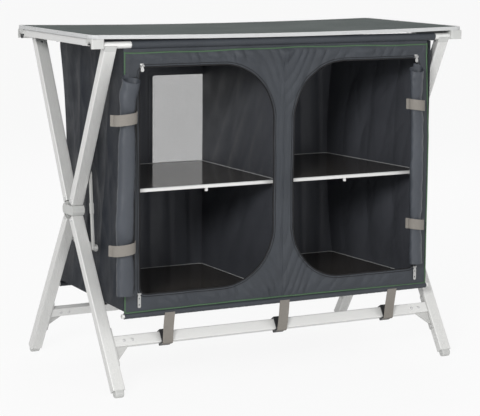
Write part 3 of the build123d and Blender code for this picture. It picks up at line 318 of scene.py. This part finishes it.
outer_cloth = cloth_material("outer_cloth", (0.029, 0.033, 0.039), (0.072, 0.081, 0.096), 0.0007, 0.37, 0.28)
front_y = -0.208
hem_z = 0.176
top_z = 0.7856
sewn_z = 0.7880
front_half = 0.414
hem_turn = 0.006
opening_inner = 0.028
opening_outer = 0.375
opening_low = 0.224
opening_high = 0.744
inner_corner = 0.135
outer_corner = 0.016


def folds(across, along, seed, length, lean=0.4, count=6):
    """Soft cloth folds as slanting waves of about the given length, from -1 to 1."""
    draw = np.random.default_rng(seed)
    total = np.zeros(np.broadcast(across, along).shape)
    weight = 0.0
    for step in range(count):
        size = length * draw.uniform(0.6, 1.7)
        slant = draw.uniform(-lean, lean)
        bend = 0.9 * np.sin(along / length * draw.uniform(0.25, 0.6) + draw.uniform(0, 6))
        wave = np.sin((across + slant * along) / size * 2 * pi + bend + draw.uniform(0, 6))
        share = draw.uniform(0.5, 1.0)
        total = total + share * (1 - 2 * np.abs(wave) ** 0.8)
        weight += share
    return total / weight * 1.6


def bump_at(x, z, centre_x, centre_z, reach):
    return np.exp(-((x - centre_x) ** 2 + (z - centre_z) ** 2) / reach ** 2)


def front_ripple(x, z):
    """How far the front panel stands off its flat, in metres; negative is outwards."""
    wander = 1.5 * np.sin(17 * x + 2) + 1.1 * np.sin(31 * x + 9 * z) + 0.8 * np.sin(53 * x - 24 * z)
    puckers = np.abs(np.sin(pi * (x * np.where(x > 0, -1, 1) + 0.75 * z) / 0.034 + wander)) ** 0.8
    top_band = np.exp(-((z - 0.763) / 0.013) ** 2)
    low_band = np.exp(-((z - 0.205) / 0.014) ** 2)
    post = sum(bump_at(np.abs(x), z, 0.045, middle, 0.075) for middle in (0.71, 0.265))
    depth = np.clip(0.82 + 0.5 * folds(x, z, 23, 0.14, 0.6), 0.4, 1)
    by_puller = sum(bump_at(np.abs(x), z, 0.376, level, 0.028) for level in (0.207, 0.74))
    reach = np.clip(0.9 * top_band + 0.7 * low_band + 0.7 * post - by_puller, 0, 1)
    creases = -0.0078 * puckers * depth * reach
    upright = 0.0009 * folds(x, z, 12, 0.022, 0.12) * np.exp(-(x / 0.03) ** 2)
    broad = folds(x + 0.2 * z, z, 5, 0.15, 0.3) * 0.0020 - 0.0012
    edge = np.clip(np.minimum(front_half - np.abs(x), np.minimum(z - hem_z, top_z - z)) / 0.012, 0, 1)
    return (creases + upright + broad) * edge


def panel_x(x, z):
    """Sideways place of the panel's cloth: its upper right edge is drawn in from the corner."""
    pull = 0.37 * np.clip((z - 0.55) / 0.2, 0, 1) * np.clip((x - 0.384) / 0.03, 0, 1)
    return x - pull * 0.030


def door_outline(side, grow, step=0.006):
    """Points round a door opening, grown outwards, with big inner and small outer corners."""
    low_x, high_x = opening_inner - grow, opening_outer + grow
    low_z, high_z = opening_low - grow, opening_high + grow
    corners = ((low_x, low_z, inner_corner + grow, pi), (high_x, low_z, outer_corner + grow, 1.5 * pi),
               (high_x, high_z, outer_corner + grow, 0.0), (low_x, high_z, inner_corner + grow, 0.5 * pi))
    points = []
    for x, z, radius, start in corners:
        centre_x = x + radius * (1 if x == low_x else -1)
        centre_z = z + radius * (1 if z == low_z else -1)
        for turn in np.linspace(start, start + 0.5 * pi, max(4, int(radius * 0.5 * pi / step))):
            points.append((centre_x + radius * cos(turn), centre_z + radius * sin(turn)))
    filled = []
    for here, there in zip(points, points[1:] + points[:1]):
        gap = np.hypot(there[0] - here[0], there[1] - here[1])
        parts = max(1, int(gap / step))
        filled += [(here[0] + (there[0] - here[0]) * k / parts, here[1] + (there[1] - here[1]) * k / parts)
                   for k in range(parts)]
    return [(side * x, z) for x, z in filled]


def deselect():
    for item in bpy.context.selected_objects:
        item.select_set(False)


def door_cutter(side):
    """Solid plug of a door opening, deep enough to cut the panel."""
    outline = door_outline(side, 0.0)
    mesh = bpy.data.meshes.new("door_plug")
    count = len(outline)
    corners = [(x, y, z) for y in (front_y - 0.02, front_y + 0.02) for x, z in outline]
    walls = [(k, (k + 1) % count, count + (k + 1) % count, count + k) for k in range(count)]
    mesh.from_pydata(corners, [], walls + [tuple(range(count))[::-1], tuple(range(count, 2 * count))])
    plug = bpy.data.objects.new("door_plug", mesh)
    bpy.context.scene.collection.objects.link(plug)
    deselect()
    plug.select_set(True)
    bpy.context.view_layer.objects.active = plug
    bpy.ops.object.mode_set(mode="EDIT")
    bpy.ops.mesh.select_all(action="SELECT")
    bpy.ops.mesh.normals_make_consistent(inside=False)
    bpy.ops.object.mode_set(mode="OBJECT")
    return plug


def cloth_grid(name, columns, rows, place):
    """A grid of cloth whose point at (u, v), each from 0 to 1, stands where place says."""
    deselect()
    bpy.ops.mesh.primitive_grid_add(x_subdivisions=columns, y_subdivisions=rows, size=1)
    piece = bpy.context.object
    piece.name = piece.data.name = name
    count = len(piece.data.vertices)
    flat = np.zeros(count * 3)
    piece.data.vertices.foreach_get("co", flat)
    flat = flat.reshape(-1, 3)
    placed = np.stack(np.broadcast_arrays(*place(flat[:, 0] + 0.5, flat[:, 1] + 0.5)), axis=1)
    piece.data.vertices.foreach_set("co", placed.ravel())
    piece.data.update()
    return piece


def apply_modifier(piece, kind, **values):
    deselect()
    piece.select_set(True)
    bpy.context.view_layer.objects.active = piece
    modifier = piece.modifiers.new(kind, kind)
    for label, value in values.items():
        setattr(modifier, label, value)
    bpy.ops.object.modifier_apply(modifier=modifier.name)


def finished(piece, material, body):
    piece.data.materials.clear()
    piece.data.materials.append(material)
    deselect()
    piece.select_set(True)
    bpy.context.view_layer.objects.active = piece
    bpy.ops.object.shade_smooth_by_angle(angle=radians(50))
    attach(piece, body)
    return piece


cloth_thickness = 0.0014


def front_place(u, v):
    x = front_half * (2 * u - 1)
    z = hem_z + hem_turn + (sewn_z - hem_z - hem_turn) * v
    return panel_x(x, z), front_y + front_ripple(x, z), z


front_cloth = cloth_grid("front_panel_cloth", 300, 170, front_place)
apply_modifier(front_cloth, "SOLIDIFY", thickness=cloth_thickness, offset=0.0)
for side in (-1, 1):
    plug = door_cutter(side)
    apply_modifier(front_cloth, "BOOLEAN", operation="DIFFERENCE", object=plug, solver="EXACT")
    bpy.data.objects.remove(plug)
finished(front_cloth, outer_cloth, "front_face")
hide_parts("front_panel")


# Zip tapes round the two openings: a black coil sewn to the edge of the cloth, with its tape behind it.
# A small slider at each end of a door's run carries the puller.
zip_cloth = cloth_material("zip_cloth", (0.008, 0.008, 0.009), (0.025, 0.025, 0.027), 0.0016, 0.5, 0.2)


def tube_along(name, points, radius, closed=False, sides=4):
    """A round cord or piping through the given points."""
    deselect()
    curve = bpy.data.curves.new(name, "CURVE")
    curve.dimensions = "3D"
    curve.bevel_depth = radius
    curve.bevel_resolution = sides
    curve.use_fill_caps = not closed
    spline = curve.splines.new("POLY")
    spline.points.add(len(points) - 1)
    spline.points.foreach_set("co", [value for point in points for value in (*point, 1)])
    spline.use_cyclic_u = closed
    piece = bpy.data.objects.new(name, curve)
    bpy.context.scene.collection.objects.link(piece)
    piece.select_set(True)
    bpy.context.view_layer.objects.active = piece
    bpy.ops.object.convert(target="MESH")
    piece = bpy.context.object
    piece.name = piece.data.name = name
    return piece


def joined(pieces, name):
    deselect()
    for piece in pieces:
        piece.select_set(True)
    bpy.context.view_layer.objects.active = pieces[0]
    bpy.ops.object.join()
    piece = bpy.context.object
    piece.name = piece.data.name = name
    return piece


def on_front(x, z, stand):
    """The point of the rippled front panel at (x, z), standing off it by the given height."""
    return x, front_y + float(front_ripple(np.array(x), np.array(z))) - stand, z


zips = []
for side in (-1, 1):
    for grow, radius, stand in ((0.0010, 0.0019, 0.0006), (0.0066, 0.0008, 0.0007)):
        path = [on_front(x, z, stand) for x, z in door_outline(side, grow)]
        zips.append(tube_along("door_zip", path, radius, True, 2))
zip_run = finished(joined(zips, "door_zips"), zip_cloth, "front_face")


def soft_box(name, low, high, bevel, segments=3):
    """A box between two corners with rounded edges."""
    deselect()
    middle = [(a + b) / 2 for a, b in zip(low, high)]
    bpy.ops.mesh.primitive_cube_add(size=1, location=middle)
    piece = bpy.context.object
    piece.name = piece.data.name = name
    piece.scale = [b - a for a, b in zip(low, high)]
    bpy.ops.object.transform_apply(location=True, rotation=True, scale=True)
    bpy.ops.object.mode_set(mode="EDIT")
    bpy.ops.mesh.select_all(action="SELECT")
    bpy.ops.mesh.bevel(offset=bevel, segments=segments, affect="EDGES")
    bpy.ops.object.mode_set(mode="OBJECT")
    return piece


slider_spots = [(side * x, z) for x, z in ((0.378, 0.226), (0.370, 0.748)) for side in (-1, 1)]
slider_face = front_y - 0.0008
pin_y = slider_face - 0.0049
sliders = []
for x, z in slider_spots:
    sliders.append(soft_box("zip_slider", (x - 0.0045, slider_face - 0.0025, z - 0.0055),
                            (x + 0.0045, slider_face, z + 0.0055), 0.0009))
    for cheek in (-1, 1):
        cheek_x = x + cheek * 0.00375
        sliders.append(soft_box("slider_cheek", (cheek_x - 0.00075, slider_face - 0.0064, z - 0.0025),
                                (cheek_x + 0.00075, slider_face - 0.0022, z + 0.0025), 0.0005, 2))
    sliders.append(tube_along("slider_pin", [(x - 0.0037, pin_y, z), (x + 0.0037, pin_y, z)], 0.001))
slider_set = finished(joined(sliders, "zip_sliders"), puller_metal, "front_face")


# Piping along the panel's top, bottom and side edges, and the raised seam down its middle.
# Green cord in a folded strip, sewn into the seams.
piping_cloth = cloth_material("piping_cloth", (0.055, 0.115, 0.06), (0.13, 0.21, 0.125), 0.0009, 0.6, 0.2)


def along_panel(points, stand=0.0009):
    raised = [on_front(x, z, stand) for x, z in points]
    return [(float(panel_x(x, z)), y, z) for x, y, z in raised]


piping_half, piping_top, piping_low = 0.412, 0.7785, 0.1835
top_run = [(x, piping_top + 0.0016 * sin(9 * x + 1) + 0.0007 * sin(37 * x))
           for x in np.linspace(-piping_half, piping_half, 160)]
low_run = [(x, piping_low + 0.0022 * sin(5 * x + 2)) for x in np.linspace(-piping_half, piping_half, 120)]
side_runs = [[(side * 0.4118, z) for z in np.linspace(piping_low, 0.7805, 80)] for side in (-1, 1)]
cords = [tube_along("piping_run", along_panel(run), 0.0018, False, 2)
         for run in (top_run, low_run, *side_runs)]
piping = finished(joined(cords, "green_piping"), piping_cloth, "front_face")
middle_run = along_panel([(0.0, z) for z in np.linspace(0.184, 0.78, 80)], 0.0007)
band_run = along_panel([(x, 0.762) for x in np.linspace(-0.40, 0.40, 120)], 0.0004)
seams = [tube_along("middle_seam", middle_run, 0.0009, False, 2),
         tube_along("band_seam", band_run, 0.0006, False, 2)]
seam_lines = finished(joined(seams, "panel_seams"), outer_cloth, "front_face")


# Back panel: a plain sheet that is waisted like the side walls, with a mesh window behind the middle
# shelf line. The window's cloth frame is stitched round it.
inner_cloth = cloth_material("inner_cloth", (0.05, 0.053, 0.062), (0.115, 0.121, 0.138), 0.0007, 0.38, 0.25)
back_y = 0.208
floor_z = 0.186
waist_z = 0.490
back_half_top = 0.392
back_half_middle = 0.374
back_half_bottom = 0.397
window_half, window_low, window_high = 0.142, 0.440, 0.686
back_low = hem_z + hem_turn


def wall_half(y, z):
    """Half-width of the cabinet at a depth and height, as its cloth is cut."""
    down, up = (waist_z - z) / (waist_z - floor_z), (z - waist_z) / (top_z - waist_z)
    below = back_half_middle + (back_half_bottom - back_half_middle) * down ** 2
    above = back_half_middle + (back_half_top - back_half_middle) * up ** 2
    fraction = (y - front_y) / (back_y - front_y)
    return front_half + (np.where(z < waist_z, below, above) - front_half) * fraction


def back_ripple(x, z):
    edge = np.clip(np.minimum(z - hem_z, top_z - z) / 0.02, 0, 1)
    off_window = np.maximum(np.abs(x) - window_half, np.maximum(window_low - z, z - window_high))
    clear = np.clip(off_window / 0.04, 0, 1)
    return np.maximum(folds(x + 0.4 * z, z, 31, 0.17, 0.5, 3) + 0.9, 0) * 0.0034 * edge * clear


def back_place(u, v):
    z = back_low + (sewn_z - back_low) * v
    half = wall_half(back_y, np.maximum(z, floor_z))
    x = half * (2 * u - 1)
    return x, back_y + back_ripple(x, z), z


back_cloth = cloth_grid("back_panel_cloth", 130, 100, back_place)
apply_modifier(back_cloth, "SOLIDIFY", thickness=cloth_thickness, offset=0.0)
window_plug = soft_box("window_plug", (-window_half, back_y - 0.02, window_low),
                       (window_half, back_y + 0.02, window_high), 0.006)
apply_modifier(back_cloth, "BOOLEAN", operation="DIFFERENCE", object=window_plug, solver="EXACT")
bpy.data.objects.remove(window_plug)
finished(back_cloth, inner_cloth, "rear_face")
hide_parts("back_panel")
tape, half_tape = 0.012, 0.0011
frames = []
for low, high in (((-window_half - tape, window_low - tape), (window_half + tape, window_low)),
                  ((-window_half - tape, window_high), (window_half + tape, window_high + tape)),
                  ((-window_half - tape, window_low - 0.0005), (-window_half, window_high + 0.0005)),
                  ((window_half, window_low - 0.0005), (window_half + tape, window_high + 0.0005))):
    frames.append(soft_box("window_edge", (low[0], back_y - half_tape, low[1]),
                           (high[0], back_y + half_tape, high[1]), 0.0004, 2))
window_frame = finished(joined(frames, "window_frame"), inner_cloth, "rear_face")


# Mesh of the window: thin black knitted net whose holes let the background through.
# It is stitched into the window's frame and bellies out a little at its middle.
def net_material(name, colour, pitch, hole):
    material, tree, shader, coords = fresh_material(name)
    axes = tree.nodes.new("ShaderNodeSeparateXYZ")
    tree.links.new(coords, axes.inputs[0])
    waves = [math_node(tree, "SINE", math_node(tree, "MULTIPLY", axes.outputs[way], 2 * pi / pitch))
             for way in ("X", "Z")]
    gaps = math_node(tree, "MULTIPLY", *[math_node(tree, "GREATER_THAN", wave, hole) for wave in waves])
    tree.links.new(math_node(tree, "SUBTRACT", 1.0, gaps), shader.inputs["Alpha"])
    fibre = noise(tree, coords, 900.0, 3.0)
    lit = tuple(1.6 * part for part in colour)
    tree.links.new(mixed_colour(tree, fibre, colour, lit), shader.inputs["Base Color"])
    shader.inputs["Roughness"].default_value = 0.6
    bumped(tree, shader, fibre, 0.3, 0.0002)
    return material


mesh_cloth = net_material("mesh_cloth", (0.03, 0.032, 0.04), 0.0016, -0.7)

pane = cloth_grid("mesh_pane", 60, 50, lambda u, v: (
    (window_half + 0.001) * (2 * u - 1), back_y + 0.0018 * np.sin(pi * u) * np.sin(pi * v),
    window_low - 0.001 + (window_high - window_low + 0.002) * v))
apply_modifier(pane, "SOLIDIFY", thickness=0.0005, offset=0.0)
finished(pane, mesh_cloth, "rear_face")
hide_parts("mesh_window")


# Side walls: slack cloth between the two faces, waisted towards the back and hanging in long folds.
# They gather when the frames close.
# Outer faces of the side walls: the front cloth painted darker, painted shade for the sides turned away from
# the lamps.
painted_shade_side_cloth = cloth_material("painted_shade_side_cloth", (0.015, 0.017, 0.022), (0.045, 0.051, 0.062), 0.0007, 0.5, 0.08)


def side_place(side, seed):
    def place(u, v):
        y = front_y + 0.001 + (back_y - front_y - 0.002) * u
        z = floor_z + 0.002 + (top_z - floor_z - 0.002) * v
        slack = np.sin(pi * u) ** 0.7 * (0.3 + 0.7 * np.sin(pi * np.clip(v, 0, 1)) ** 0.6)
        hang = folds(y, z, seed, 0.17, 0.75, 4) * 0.0044 + 0.0038
        wrinkle = folds(y + 0.5 * z, z, seed + 1, 0.09, 0.9) * 0.0008
        x = wall_half(y, z) + (hang + wrinkle) * slack
        return side * x, y, z
    return place


for side, label, seed in ((-1, "left", 41), (1, "right", 57)):
    wall = cloth_grid(f"side_wall_cloth_{label}", 110, 120, side_place(side, seed))
    apply_modifier(wall, "SOLIDIFY", thickness=cloth_thickness, offset=0.0)
    finished(wall, painted_shade_side_cloth, "cabinet")
    wall.data.materials.append(inner_cloth)
    for face in wall.data.polygons:
        face.material_index = int(side * face.normal.x < -0.3)
    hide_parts("side_walls")
    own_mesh(wall)


# Divider, base and the two cloth layers that the middle shelves lie on.
# The same cloth as the back, sewn to the walls and gathered with them when the frames close.
divider = cloth_grid("divider_cloth", 60, 90, lambda u, v: (
    folds(u * 0.4 + v * 0.3, v * 0.6, 71, 0.17, 0.5, 3) * 0.0021 * np.sin(pi * u) * np.sin(pi * v),
    front_y + 0.001 + (back_y - front_y - 0.002) * u, floor_z + 0.002 + (top_z - floor_z - 0.002) * v))
apply_modifier(divider, "SOLIDIFY", thickness=cloth_thickness, offset=0.0)
finished(divider, inner_cloth, "cabinet")
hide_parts("divider_wall")
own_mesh(divider)


def floor_place(inner, z, front, sag):
    def place(u, v):
        y = front + (back_y - 0.001 - front) * v
        half = wall_half(y, z) - 0.0012
        x = inner + (half - inner) * u
        return x, y, z - sag * np.sin(pi * u) * np.sin(pi * v)
    return place


def mirrored(piece, name):
    deselect()
    twin = piece.copy()
    twin.data = piece.data.copy()
    twin.name = twin.data.name = name
    bpy.context.scene.collection.objects.link(twin)
    twin.data.transform(Matrix.Scale(-1, 4, (1, 0, 0)))
    twin.data.flip_normals()
    return twin


for label, inner, z, front, sag, cut, area in (
        ("base", 0.001, floor_z + 0.001, front_y + 0.001, 0.0004, (0.412, 0.414), 0.1675),
        ("layer", 0.001, 0.4557, -0.174, 0.0, (0.410, 0.381), 0.1485)):
    half_layer = cloth_grid(f"cabinet_{label}_right", 50, 50, floor_place(inner, z, front, sag))
    apply_modifier(half_layer, "SOLIDIFY", thickness=0.0013, offset=0.0)
    for piece in (half_layer, mirrored(half_layer, f"cabinet_{label}_left")):
        finished(piece, inner_cloth, "cabinet")
        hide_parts("cabinet_base" if label == "base" else "shelf_cloths")
        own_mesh(piece)


# Edging of the shelves: a white strip that wraps each board's edge and shows as a line on its top.
# It is glued all round both boards of both shelves.
board_inner, board_front, board_back = 0.0025, -0.186, 0.2065
board_gap = 0.0033
board_corner = 0.012
board_tops = (0.464, 0.1955)


def board_edge(side, z):
    outer_front, outer_back = (wall_half(y, z) - board_gap for y in (board_front, board_back))
    corners = [Vector(spot) for spot in ((board_inner, board_front), (board_inner, board_back),
                                         (outer_back, board_back), (outer_front, board_front))]
    path = []
    for place, corner in enumerate(corners):
        start = corner + (corners[place - 1] - corner).normalized() * board_corner
        end = corner + (corners[(place + 1) % 4] - corner).normalized() * board_corner
        for share in np.linspace(0, 1, 7):
            bend = start * (1 - share) ** 2 + corner * 2 * share * (1 - share) + end * share ** 2
            path.append((side * bend.x, bend.y, z))
    return path


edging = [tube_along("shelf_edge", board_edge(side, z), 0.0009, True, 2)
          for side in (-1, 1) for z in board_tops]
edging_lines = finished(joined(edging, "shelf_edging"), edge_trim, "shelves")


# Sleeves over the top tubes and round the hem tubes: cloth turned over the tube and sewn down.
# Small gathers run round them every few centimetres.
tube_z = 0.796
tube_sleeve_radius = 0.0095
hem_sleeve_radius = 0.0066
top_half, top_shift = 0.4095, 0.0125
gather = 0.0007


def sleeve_place(centre_y, centre_z, radius, half, shift, seed):
    def place(u, v):
        turn = 2 * pi * v
        x = shift + half * (2 * u - 1)
        swell = radius + gather * (folds(x, 0.02 * turn, seed, 0.024, 0.5) * 0.5 + 0.5)
        return x, centre_y + swell * np.cos(turn), centre_z + swell * np.sin(turn)
    return place


def sleeve(name, centre_y, centre_z, radius, half, shift, seed, body):
    piece = cloth_grid(name, 240, 28, sleeve_place(centre_y, centre_z, radius, half, shift, seed))
    deselect()
    piece.select_set(True)
    bpy.context.view_layer.objects.active = piece
    bpy.ops.object.mode_set(mode="EDIT")
    bpy.ops.mesh.select_all(action="SELECT")
    bpy.ops.mesh.remove_doubles(threshold=0.00002)
    bpy.ops.mesh.normals_make_consistent(inside=False)
    bpy.ops.object.mode_set(mode="OBJECT")
    apply_modifier(piece, "SOLIDIFY", thickness=0.0009, offset=-1.0)
    finished(piece, outer_cloth, body)
    return piece


for label, tube_y, seed in (("front", front_y, 81), ("rear", back_y, 83)):
    top_sleeve = sleeve(f"{label}_top_sleeve_cloth", tube_y, tube_z, tube_sleeve_radius, top_half, top_shift,
                        seed, f"upper_{label}")
    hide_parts(f"{label}_top_sleeve")
for label, tube_y, half, seed in (("front", front_y, front_half, 85), ("rear", back_y, back_half_bottom, 87)):
    sleeve(f"{label}_hem_cloth", tube_y, hem_z, hem_sleeve_radius, half, 0.0, seed, f"{label}_face")


# Rolled doors: each door is rolled outwards into a slack cylinder beside its opening.
# Two webbing bands pinch the roll, and its top is an open mouth that shows the turns.
# Cloth of the rolls: the panel's cloth painted about 1.4 times lighter, painted light where the lamps catch
# the rolls.
painted_lit_roll_cloth = cloth_material("painted_lit_roll_cloth", (0.042, 0.047, 0.056), (0.1, 0.111, 0.131), 0.0007, 0.36, 0.3)
roll_high = 0.733
band_levels = (0.337, 0.632)
roll_flatness = 0.7
roll_sizes = {-1: (0.0262, 0.230, -0.4205, -0.412, 3.1), 1: (0.0222, 0.238, 0.371, 0.362, 3.7)}
band_sizes = {-1: (0.029, -0.006), 1: (0.0222, 0.0)}


def roll_centre(side, z):
    _, low, bottom, top, _ = roll_sizes[side]
    return bottom + (top - bottom) * (z - low) / (roll_high - low)


def roll_middle_y(side):
    return front_y - 0.0019 - roll_flatness * roll_sizes[side][0]


def roll_place(side, seed):
    half, low, _, _, turns = roll_sizes[side]
    width = half - 0.0006

    def place(u, v):
        z = low + (roll_high - low) * v
        turn = side * -(0.5 * pi + 2 * pi * turns * u) + (pi if side > 0 else 0)
        pinch = sum(np.exp(-((z - level) / 0.030) ** 2) for level in band_levels)
        swell = 1.0 - 0.13 * pinch + 0.06 * np.exp(-((z - roll_high) / 0.04) ** 2)
        lay = 1 - 0.1 * np.minimum(u * turns, 1) - 0.36 * u
        crease = folds(turn * 0.008, z, seed, 0.07, 0.7) * 0.12 * (1 - u) ** 0.5
        flow = folds(z, turn * 0.01, seed + 2, 0.05, 0.5) * 0.04 * pinch
        reach = np.minimum(lay * swell * (1 + crease + flow - 0.06), 1.05)
        mouth = np.exp(-((z - roll_high) / 0.035) ** 2)
        sway = 0.0012 * np.sin(z * 14 + side) + (0.009 if side < 0 else 0.002) * mouth
        lean_out = 0.8 * (1 - swell) * roll_flatness * half
        slope = -(0.008 * (1 - np.sin(turn)) + 0.03 * u) * mouth
        return (roll_centre(side, z) + sway + width * reach * np.cos(turn),
                roll_middle_y(side) + lean_out + roll_flatness * width * reach * np.sin(turn),
                z - 0.001 + slope)
    return place


for side, label, seed in ((-1, "left", 91), (1, "right", 97)):
    roll = cloth_grid(f"rolled_door_cloth_{label}", 230, 90, roll_place(side, seed))
    apply_modifier(roll, "SOLIDIFY", thickness=0.0010, offset=0.0)
    finished(roll, painted_lit_roll_cloth, "front_face")
    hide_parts(f"rolled_door_{label}")


# Door tape and painted shadow: the half of the left zip that stays on the door's edge, lying between roll and
# opening.
# A narrow black tape that disappears under the roll; it follows the roll's right edge, so its dark strip also
# paints the roll's shadow on the panel.
def tape_and_shadow_place(u, v):
    z = 0.236 + (roll_high - 0.246) * v
    x = roll_centre(-1, z) + roll_sizes[-1][0] + 0.011 * u - 0.0065 + 0.0008 * np.sin(11 * z)
    return x, front_y + front_ripple(x, z) - 0.0021 - 0.0006 * np.sin(9 * v), z


door_tape_and_painted_shadow = cloth_grid("door_tape_and_painted_shadow", 4, 60, tape_and_shadow_place)
apply_modifier(door_tape_and_painted_shadow, "SOLIDIFY", thickness=0.0008, offset=0.0)
finished(door_tape_and_painted_shadow, zip_cloth, "front_face")


# Bands round the rolls: taupe woven webbing.
# Each is sewn to the panel on both sides of its roll and holds it half way round.
webbing_cloth = cloth_material("webbing_cloth", (0.2, 0.185, 0.165), (0.36, 0.335, 0.305), 0.0016,
                               0.7, 0.3, 0.3, 0.6)
band_half_width = 0.0127


def band_place(side, level):
    half, aside = band_sizes[side]

    def place(u, v):
        turn = pi * (0.93 + 1.14 * u)
        z = level + band_half_width * (2 * v - 1) - 0.003 * side * np.cos(turn)
        flare = 1 + 0.22 * np.clip(np.abs(2 * u - 1) - 0.86, 0, 1) / 0.14
        reach = (0.925 + 0.012 * np.sin(9 * u + 2 * level)) * flare
        y = roll_middle_y(side) + (roll_flatness * half + 0.0026) * reach * np.sin(turn)
        return (roll_centre(side, z) + aside + (half + 0.0012) * reach * np.cos(turn),
                np.minimum(y, front_y - 0.0044), z)
    return place


bands = []
for side in (-1, 1):
    for level in band_levels:
        band = cloth_grid("roll_band", 60, 8, band_place(side, level))
        apply_modifier(band, "SOLIDIFY", thickness=0.0012, offset=0.0)
        bands.append(band)
band_set = finished(joined(bands, "roll_bands"), webbing_cloth, "front_face")
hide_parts("roll_straps")


# Tie straps: webbing from the cabinet hems to the bottom bars, where each runs down over its hook.
# They stay on the bars when the frame folds, and go slack.
pivot_y, pivot_z = 0.018, 0.375
foot_y, foot_z = 0.252, 0.009
bar_reach = 0.312
strap_centres = (-0.300, 0.005, 0.310)
strap_half_width = 0.0132
lower_lean = atan2(foot_y - pivot_y, pivot_z - foot_z)
bar_y = -(pivot_y + bar_reach * sin(lower_lean))
bar_z = pivot_z - bar_reach * cos(lower_lean)
down_leg = (-sin(lower_lean), -cos(lower_lean))
off_bar = (-cos(lower_lean), sin(lower_lean))


def by_bar(out, down):
    return bar_y + out * off_bar[0] + down * down_leg[0], bar_z + out * off_bar[1] + down * down_leg[1]


strap_top = (front_y - 0.0082, hem_z + 0.001)
strap_foot = by_bar(0.0117, 0.0155)
strap_path = [strap_top, strap_foot, by_bar(0.0098, 0.0180), by_bar(0.004, 0.0187)]


def strap_place(centre, face):
    steps = np.array(strap_path)
    lengths = np.concatenate([[0], np.cumsum(np.hypot(*np.diff(steps, axis=0).T))])

    def place(u, v):
        run = v * lengths[-1]
        y, z = (np.interp(run, lengths, steps[:, k]) for k in (0, 1))
        x = centre + strap_half_width * (2 * u - 1) + 0.0012 * np.sin(3 * v + centre * 9)
        return x, -face * y, z
    return place


for face, label in ((-1, "front"), (1, "rear")):
    straps = []
    for centre in strap_centres:
        strap = cloth_grid("tie_strap", 8, 60, strap_place(centre, face))
        apply_modifier(strap, "SOLIDIFY", thickness=0.0013, offset=0.0)
        straps.append(strap)
    strap_set = finished(joined(straps, f"{label}_tie_straps_cloth"), webbing_cloth, f"lower_{label}")
    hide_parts(f"{label}_tie_straps")
    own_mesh(strap_set)


# Studio: a plain pale floor, white surroundings, soft lamps and the camera of the photograph.
# Both floor and surroundings look white to the camera, in metal and through the window.
def seen_directly(tree):
    rays = tree.nodes.new("ShaderNodeLightPath")
    through = math_node(tree, "MAXIMUM", rays.outputs["Is Glossy Ray"], rays.outputs["Is Transmission Ray"])
    return math_node(tree, "MAXIMUM", rays.outputs["Is Camera Ray"], through)


floor_finish, tree, shader, _ = fresh_material("studio_floor")
shader.inputs["Base Color"].default_value = (0.9, 0.9, 0.9, 1)
shader.inputs["Roughness"].default_value = 0.9
glow = tree.nodes.new("ShaderNodeEmission")
glow.inputs["Strength"].default_value = 1.0
blend_in = tree.nodes.new("ShaderNodeMixShader")
tree.links.new(math_node(tree, "MULTIPLY", seen_directly(tree), 0.9), blend_in.inputs[0])
tree.links.new(shader.outputs[0], blend_in.inputs[1])
tree.links.new(glow.outputs[0], blend_in.inputs[2])
output = next(n for n in tree.nodes if n.type == "OUTPUT_MATERIAL")
tree.links.new(blend_in.outputs[0], output.inputs["Surface"])
deselect()
bpy.ops.mesh.primitive_plane_add(size=40)
floor = bpy.context.object
floor.name = "studio_floor"
floor.data.materials.append(floor_finish)

world = bpy.data.worlds.new("studio")
bpy.context.scene.world = world
world.use_nodes = True
tree = world.node_tree
sky = next(n for n in tree.nodes if n.type == "BACKGROUND")
sky.inputs["Color"].default_value = (1, 1, 1, 1)
tree.links.new(ramped(tree, seen_directly(tree), 0.0, 1.0, 0.4, 1.0), sky.inputs["Strength"])


def lamp(name, place, target, size, power):
    light = bpy.data.lights.new(name, "AREA")
    light.shape = "DISK"
    light.size = size
    light.energy = power
    item = bpy.data.objects.new(name, light)
    bpy.context.scene.collection.objects.link(item)
    item.location = place
    item.rotation_euler = (Vector(target) - Vector(place)).to_track_quat("-Z", "Y").to_euler()


lamp("key_lamp", (-3.2, -3.7, 2.2), (0, 0, 0.4), 1.2, 125)
lamp("front_lamp", (0.4, -4.6, 0.7), (0, 0, 0.4), 2.4, 44)
lamp("rim_lamp", (1.8, 2.8, 2.6), (0, 0, 0.5), 1.8, 24)

yaw, pitch, roll = 0.49754, -0.15, 0.00804
focal_pixels, frame_width, frame_height, optical_row = 1803.13, 480, 416, 195.93
eye = (-2.10769, -3.87773, 1.06638)
forward = Vector((sin(yaw) * cos(pitch), cos(yaw) * cos(pitch), sin(pitch)))
level_right = Vector((cos(yaw), -sin(yaw), 0))
level_up = level_right.cross(forward)
right = level_right * cos(roll) + level_up * sin(roll)
up = level_up * cos(roll) - level_right * sin(roll)
camera = bpy.data.objects.new("photo_camera", bpy.data.cameras.new("photo_camera"))
bpy.context.scene.collection.objects.link(camera)
camera.data.sensor_width = 36
camera.data.lens = focal_pixels / frame_width * camera.data.sensor_width
camera.data.shift_y = (optical_row - frame_height / 2) / frame_width
turned = Matrix((right, up, -forward)).transposed().to_4x4()
camera.matrix_world = Matrix.Translation(eye) @ turned
bpy.context.scene.camera = camera
bpy.context.scene.view_settings.view_transform = "Standard"
